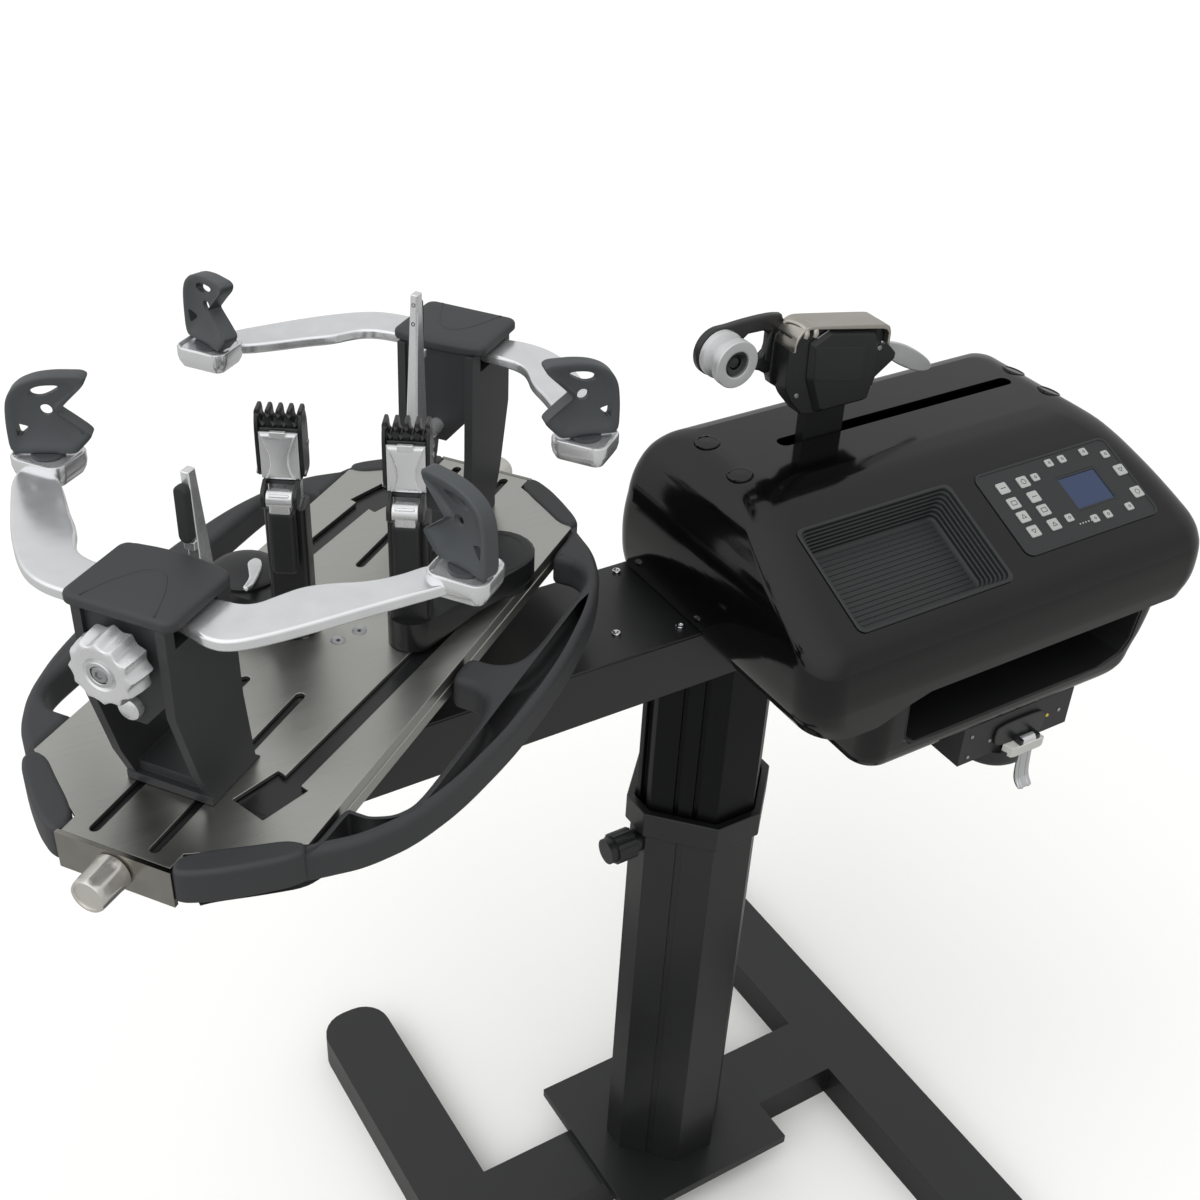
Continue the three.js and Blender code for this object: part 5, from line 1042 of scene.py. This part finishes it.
# Gripper and diablo, the grooved drum that the string runs round, on the carriage
GRIPPER_OUTLINE = [(43, 127), (50, 114), (68, 93), (145, 93), (153, 106), (157, 121), (157, 168), (152, 171),
                   (62, 187), (49, 187), (43, 180)]
GRIPPER_FACE = [(65, 172), (84.5, 182), (146, 170), (152, 150), (151, 112), (146, 94.2), (82, 94.2), (66, 134)]
GRIPPER_PANEL = [(69, 168), (130, 156.5), (132, 120), (72, 133)]
GRIPPER_CAP = [(42.4, 168), (42.2, 175), (44.5, 182.5), (50, 189.4), (56, 191.8), (63, 192), (142, 178.2),
               (153, 176), (158, 172.5), (160.6, 166), (160.6, 153.6), (157.6, 153.6), (157.4, 165),
               (154, 169.4), (149, 171.4), (66, 187.4), (58, 188.4), (51, 186), (46.4, 180), (44.6, 175),
               (44.8, 168)]


def drawn_in(points, inset):
    """An outline pulled in towards its own middle by about the inset."""
    mx = sum(x for x, y in points) / len(points)
    my = sum(y for x, y in points) / len(points)
    pulled = []
    for x, y in points:
        length = math.hypot(x - mx, y - my)
        pulled.append((x - (x - mx) / length * inset, y - (y - my) / length * inset))
    return pulled


def gripper():
    body = slab(UPRIGHT, [eased(GRIPPER_OUTLINE, 1, 0.12)], -8, 12.4, 1.6, 3)
    back = slab(UPRIGHT, [eased([(37, 128), (60, 112), (70, 150), (60, 184), (48, 184), (37, 176)], 1, 0.15)], -17,
                -6, 1.2)
    shield = eased(GRIPPER_FACE, 1, 0.06)
    label = eased(GRIPPER_PANEL, 1, 0.06)
    face = stacked(UPRIGHT, lambda inset: drawn_in(shield, inset),
                   [(0, 10), (0, 13.4), (1, 14.4), (4.6, 17.6), (5.6, 18)])
    panel = stacked(UPRIGHT, lambda inset: drawn_in(label, inset), [(0, 17), (0, 18.2), (0.8, 18.7)])
    ear = eased([(148, 113), (150, 113), (176.5, 131.5), (177, 138), (164, 151), (148, 151)], 1, 0.12)
    ears = [slab(UPRIGHT, [ear], side * 10.8 - 2, side * 10.8 + 2, 0.7) for side in (-1, 1)]
    glint = rod_along(UPRIGHT, [(71, 176.2, 15.6), (84.2, 182, 15.6)], 0.6, False)
    screws = set_out("gripper_screws",
                     facing_points(HEAD, [(147, -14.6, 107), (57, -12.2, 118), (154, -12.9, 148)], TO_FRONT),
                     socket_head(2.6, 1.2, 2.4))
    gathered("gripper_body", {BLACK_MOULDING: [body, face, *ears], BLACK_STEEL: [back], PANEL: [panel],
                              SCREW_STEEL: [screws, glint]}, "gripper_housing")
    cap = slab(UPRIGHT, [eased(GRIPPER_CAP, 1, 0.16)], -12.5, 19.5, 1, 3)
    waves = [rod_along(UPRIGHT, [(x - 1, z - 7, 18.4), (x, z - 2.5, 19.2), (x, z + 0.8, 15), (x - 1, z + 1.2, 4),
                                 (x - 4, z, -6), (x - 6, z - 2, -8)], 3.3) for x, z in ((55, 189), (66, 188))]
    gathered("gripper_clasp", {NICKEL: [cap, *waves]}, "gripper_cap")


def diablo():
    axis = HEAD @ shift(-23, 0, 171) @ turn(90, "X")
    outline = arc(-23, 171, 24, 95, 176, 22) + [(-8, 146), (10, 145), (26, 141.5), (37.4, 134), (46, 150), (50, 170),
                                                (50, 194), (37.4, 196.4), (20, 196.9), (0, 196.2), (-14, 195)]
    window = [(4, 158), (27, 155), (33.5, 161), (33.5, 181.5), (4, 182)]
    arm = slab(UPRIGHT, [eased(outline, 1, 0.2), eased(window, 1, 0.2)], -18.9, -10.1, 2.2, 3)
    hook = [(30, 152), (37.4, 146), (37.4, 170), (36.4, 181), (34.6, 180), (32.6, 166)]
    blade = slab(UPRIGHT, [eased(hook, 1, 0.15)], -14, -8, 0.8)
    pin = turned(axis, [(0, -11), (5.6, -11), (6, -10.6), (6, 13), (5, 14.4), (0, 14.6)], 32)
    gathered("diablo_arm_moulded", {BLACK_STEEL: [arm, blade, pin]}, "diablo_arm")
    drum = turned(axis, [(6.4, -9.6), (22, -9.6), (23, -8.6), (23, -2.6), (22, -1.6), (17, 1.2), (15, 3.4),
                         (15, 6.2), (17, 8.2), (22, 10.4), (23, 11.4), (23, 19), (22.2, 19.8), (14, 20),
                         (12.6, 19.2), (12.4, 14), (6.4, 13.6), (6.4, -9.6)], 72)
    core = turned(axis, [(6.3, 12.6), (12.2, 12.6), (12.2, 16.4), (10, 17.4), (7, 16.6), (6.3, 16), (6.3, 12.6)])
    gathered("diablo_drum_turned", {DRUM_SILVER: [drum], BLACK_STEEL: [core]}, "diablo_drum")


LEVER_LEAF = [(0, -4), (12, -7), (34, -10.5), (60, -10.5), (78, -7), (87, -1), (84, 4), (70, 8.5), (43, 10.8),
              (24, 9.6), (10, 6.5), (0, 4)]


def gripper_lever():
    upright = HEAD @ shift(165, 0, 144) @ turn(29, "Y") @ turn(90, "X")
    leaf = slab(upright, [eased(LEVER_LEAF, 2, 0.25)], -2, 2, 1.5, 3)
    gathered("gripper_lever_cast", {DRUM_SILVER: [leaf], CHROME: [barrel(upright, 5, 8.4)]}, "gripper_lever")


# Latch under the head
LATCH_SCREWS = [(188.6, -235, -190.7), (176.8, -235, -193), (238, -235, -180), (150, -235, -204), (150, -235, -178)]
LATCH_TONGUE = [(-3, 0), (-3.4, -14), (-4.4, -28), (-5.6, -40), (-8, -47), (-12.5, -52), (-14, -55.6), (-10, -55),
                (-5, -51.5), (-2, -46), (-0.8, -38), (-0.2, -26), (0.4, -12), (0.6, 0)]


def latch():
    box = rounded("latch_box", 1.2, 3)
    lamp, button = [turned(HEAD @ shift(x, -235, z) @ turn(90, "X"),
                           [(0, -0.4), (2.2, -0.4), (2.2, 0.6), (1.5, 1.2), (0, 1.4)], 20)
                    for x, z in ((255.9, -190.7), (272.2, -189.4))]
    screws = set_out("latch_screws", facing_points(HEAD, LATCH_SCREWS, TO_FRONT), socket_head(2, 1, 1.9))
    saddle = slab(UPRIGHT, [eased([(184, -176), (240, -176), (250, -184), (249, -206), (186, -204), (180, -190)], 2,
                                  0.2)], 234.5, 238.5, 1.2)
    wedge = slab(HEAD @ shift(0, 0, -210), [eased([(196, -236), (240, -236), (244, -249), (200, -249)], 1, 0.1)], -6,
                 6, 0.8)
    disc = turned(HEAD @ shift(212, -206, 0), [(0, -232), (36, -232), (39, -229), (40, -224), (40, -212), (0, -212)],
                  72)
    gathered("latch_housing", {BLACK_MOULDING: [box], SCREW_STEEL: [screws, button], BLACK_STEEL: [saddle, disc],
                               PALE_MOULDING: [wedge], LIT_AMBER: [lamp]}, "latch_box")
    place = HEAD @ shift(223, -243, -203)
    side_on = sideways(place)
    tongue = slab(side_on, [eased(LATCH_TONGUE, 2)], -9, 9, 1.3, 3)
    ridge = eased([(x - 0.9, z) for x, z in LATCH_TONGUE], 2)
    ridges = [slab(side_on, [ridge], x - 1.6, x + 1.6, 0.8, 2) for x in (-4.5, 4.5)]
    gathered("latch_tongue", {CAST_SILVER: [barrel(place @ turn(90, "Y"), 5, 9)], CHROME: [tongue, *ridges]},
             "latch_lever")


# Beam, column and the rest keep the CAD shape with rounded edges
BEAM_SCREWS = [(-86, -53, -80), (-90, 57, -80), (-147, -34, -80), (-300, -53, -80), (-300, 53, -80), (-470, -53, -80),
               (-470, 53, -80)]
EDGE_MM = {
    "base_frame": 2.5, "column_lower": 1.2, "column_collar": 1.5, "column_upper": 1.0, "support_beam": 1.5,
    "carriage_block": 1.0, "turntable_hub": 1.0, "turntable_bearing": 1.0, "guide_rail": 0.8, "drive_motor": 1.0,
    "drive_screw": 0.5,
}


def beam():
    screws = set_out("beam_screws", facing_points(HEAD, BEAM_SCREWS, UP), socket_head(4.4, 2.6, 4))
    gathered("beam_cover_fitted", {BASE_STEEL: [rounded("beam_cover", 0.9)], CHROME: [screws]}, "beam_cover")


for end in ("front", "rear"):
    tower(end)
    star_knob(end)
    centre_support(end)
    for hand in ("left", "right"):
        side_arm(end, hand)
        frame_holder(end, hand)
for label in ("right", "left"):
    clamp_head(label)
    clamp_lever(label)
    clamp_stand(label)
bumper("bumper_left", 1)
bumper("bumper_right", -1)
turntable_top()
tension_cover()
bowl()
tool_tray()
keypad()
gripper()
diablo()
gripper_lever()
latch()
beam()
gathered("height_knob_moulded", {BLACK_MOULDING: [rounded("height_knob", 0.8)]}, "height_knob")
for node, width in EDGE_MM.items():
    gathered(node + "_finished", {FINISH_OF[node]: [rounded(node, width)]}, node)


# Camera, at the photograph's angle: degrees, metres, and a focal length in pixels of its 1200 pixel width
CAMERA_HEADING, CAMERA_PITCH, CAMERA_ROLL = 33.292, 34.770, -3.181
CAMERA_PLACE = (-0.829, -1.041, 1.803)
FOCAL_PIXELS = 1567.47
PHOTO_PIXELS = 1200
FILM_MM = 36


def camera():
    heading, pitch, roll = [math.radians(angle) for angle in (CAMERA_HEADING, CAMERA_PITCH, CAMERA_ROLL)]
    ahead = Vector((math.sin(heading) * math.cos(pitch), math.cos(heading) * math.cos(pitch), -math.sin(pitch)))
    across = Vector((math.cos(heading), -math.sin(heading), 0))
    down = ahead.cross(across)
    right = across * math.cos(roll) + down * math.sin(roll)
    up = across * math.sin(roll) - down * math.cos(roll)
    data = bpy.data.cameras.new("camera")
    data.sensor_width = FILM_MM
    data.lens = FILM_MM * FOCAL_PIXELS / PHOTO_PIXELS
    data.clip_start = 0.05
    data.clip_end = 50
    made = new_object("camera", data)
    made.matrix_world = Matrix.Translation(CAMERA_PLACE) @ Matrix((right, up, -ahead)).transposed().to_4x4()
    bpy.context.scene.camera = made


# The way to the brightest side of the room: left of the machine, in front and above
LIGHT_SIDE = (-0.52, -0.2, 0.83)


def white_floor():
    """Matt white paint under the machine: white to the eye, a mid grey in what the machine reflects."""
    shape = bmesh.new()
    bmesh.ops.create_grid(shape, x_segments=1, y_segments=1, size=9)
    paint, tree, shader = finish("floor_white_matt_paint", "#f3f3f1", 0.95)
    seen = add(tree, "ShaderNodeLightPath")
    share = add(tree, "ShaderNodeMath", {"operation": "MULTIPLY_ADD"}, {1: 0.26},
                {0: seen.outputs["Is Glossy Ray"], 2: seen.outputs["Is Camera Ray"]})
    tint(tree, shader, share.outputs["Value"], "#8a8a88", "#f3f3f1")
    floor = new_object("floor", as_mesh(shape, "floor"), paint)


def surround():
    """A room that glows softly from one side; the camera sees it as plain white."""
    world = bpy.data.worlds.new("surround")
    world.use_nodes = True
    tree = world.node_tree
    where = add(tree, "ShaderNodeTexCoord")
    towards = add(tree, "ShaderNodeVectorMath", {"operation": "DOT_PRODUCT"}, {1: LIGHT_SIDE},
                  {0: where.outputs["Generated"]})
    glow = add(tree, "ShaderNodeMapRange", {"interpolation_type": "SMOOTHSTEP"},
               {"From Min": 0.1, "From Max": 1.0, "To Min": 0.62, "To Max": 1.15},
               {"Value": towards.outputs["Value"]})
    seen = add(tree, "ShaderNodeLightPath")
    level = add(tree, "ShaderNodeMix", values={"B": 1.0},
                links={"Factor": seen.outputs["Is Camera Ray"], "A": glow.outputs["Result"]})
    sky = tree.nodes["Background"]
    sky.inputs["Color"].default_value = (1, 1, 1, 1)
    tree.links.new(level.outputs["Result"], sky.inputs["Strength"])
    bpy.context.scene.world = world


def soft_sun():
    """One broad lamp from the bright side, for the soft shadow; nothing mirrors it."""
    sun = bpy.data.lights.new("soft_sun", "SUN")
    sun.energy = 1.1
    sun.angle = math.radians(50)
    made = new_object("soft_sun", sun)
    made.rotation_euler = Vector(LIGHT_SIDE).to_track_quat("Z", "Y").to_euler()
    made.visible_glossy = False


bpy.context.scene.view_settings.view_transform = "Standard"
camera()
white_floor()
surround()
soft_sun()
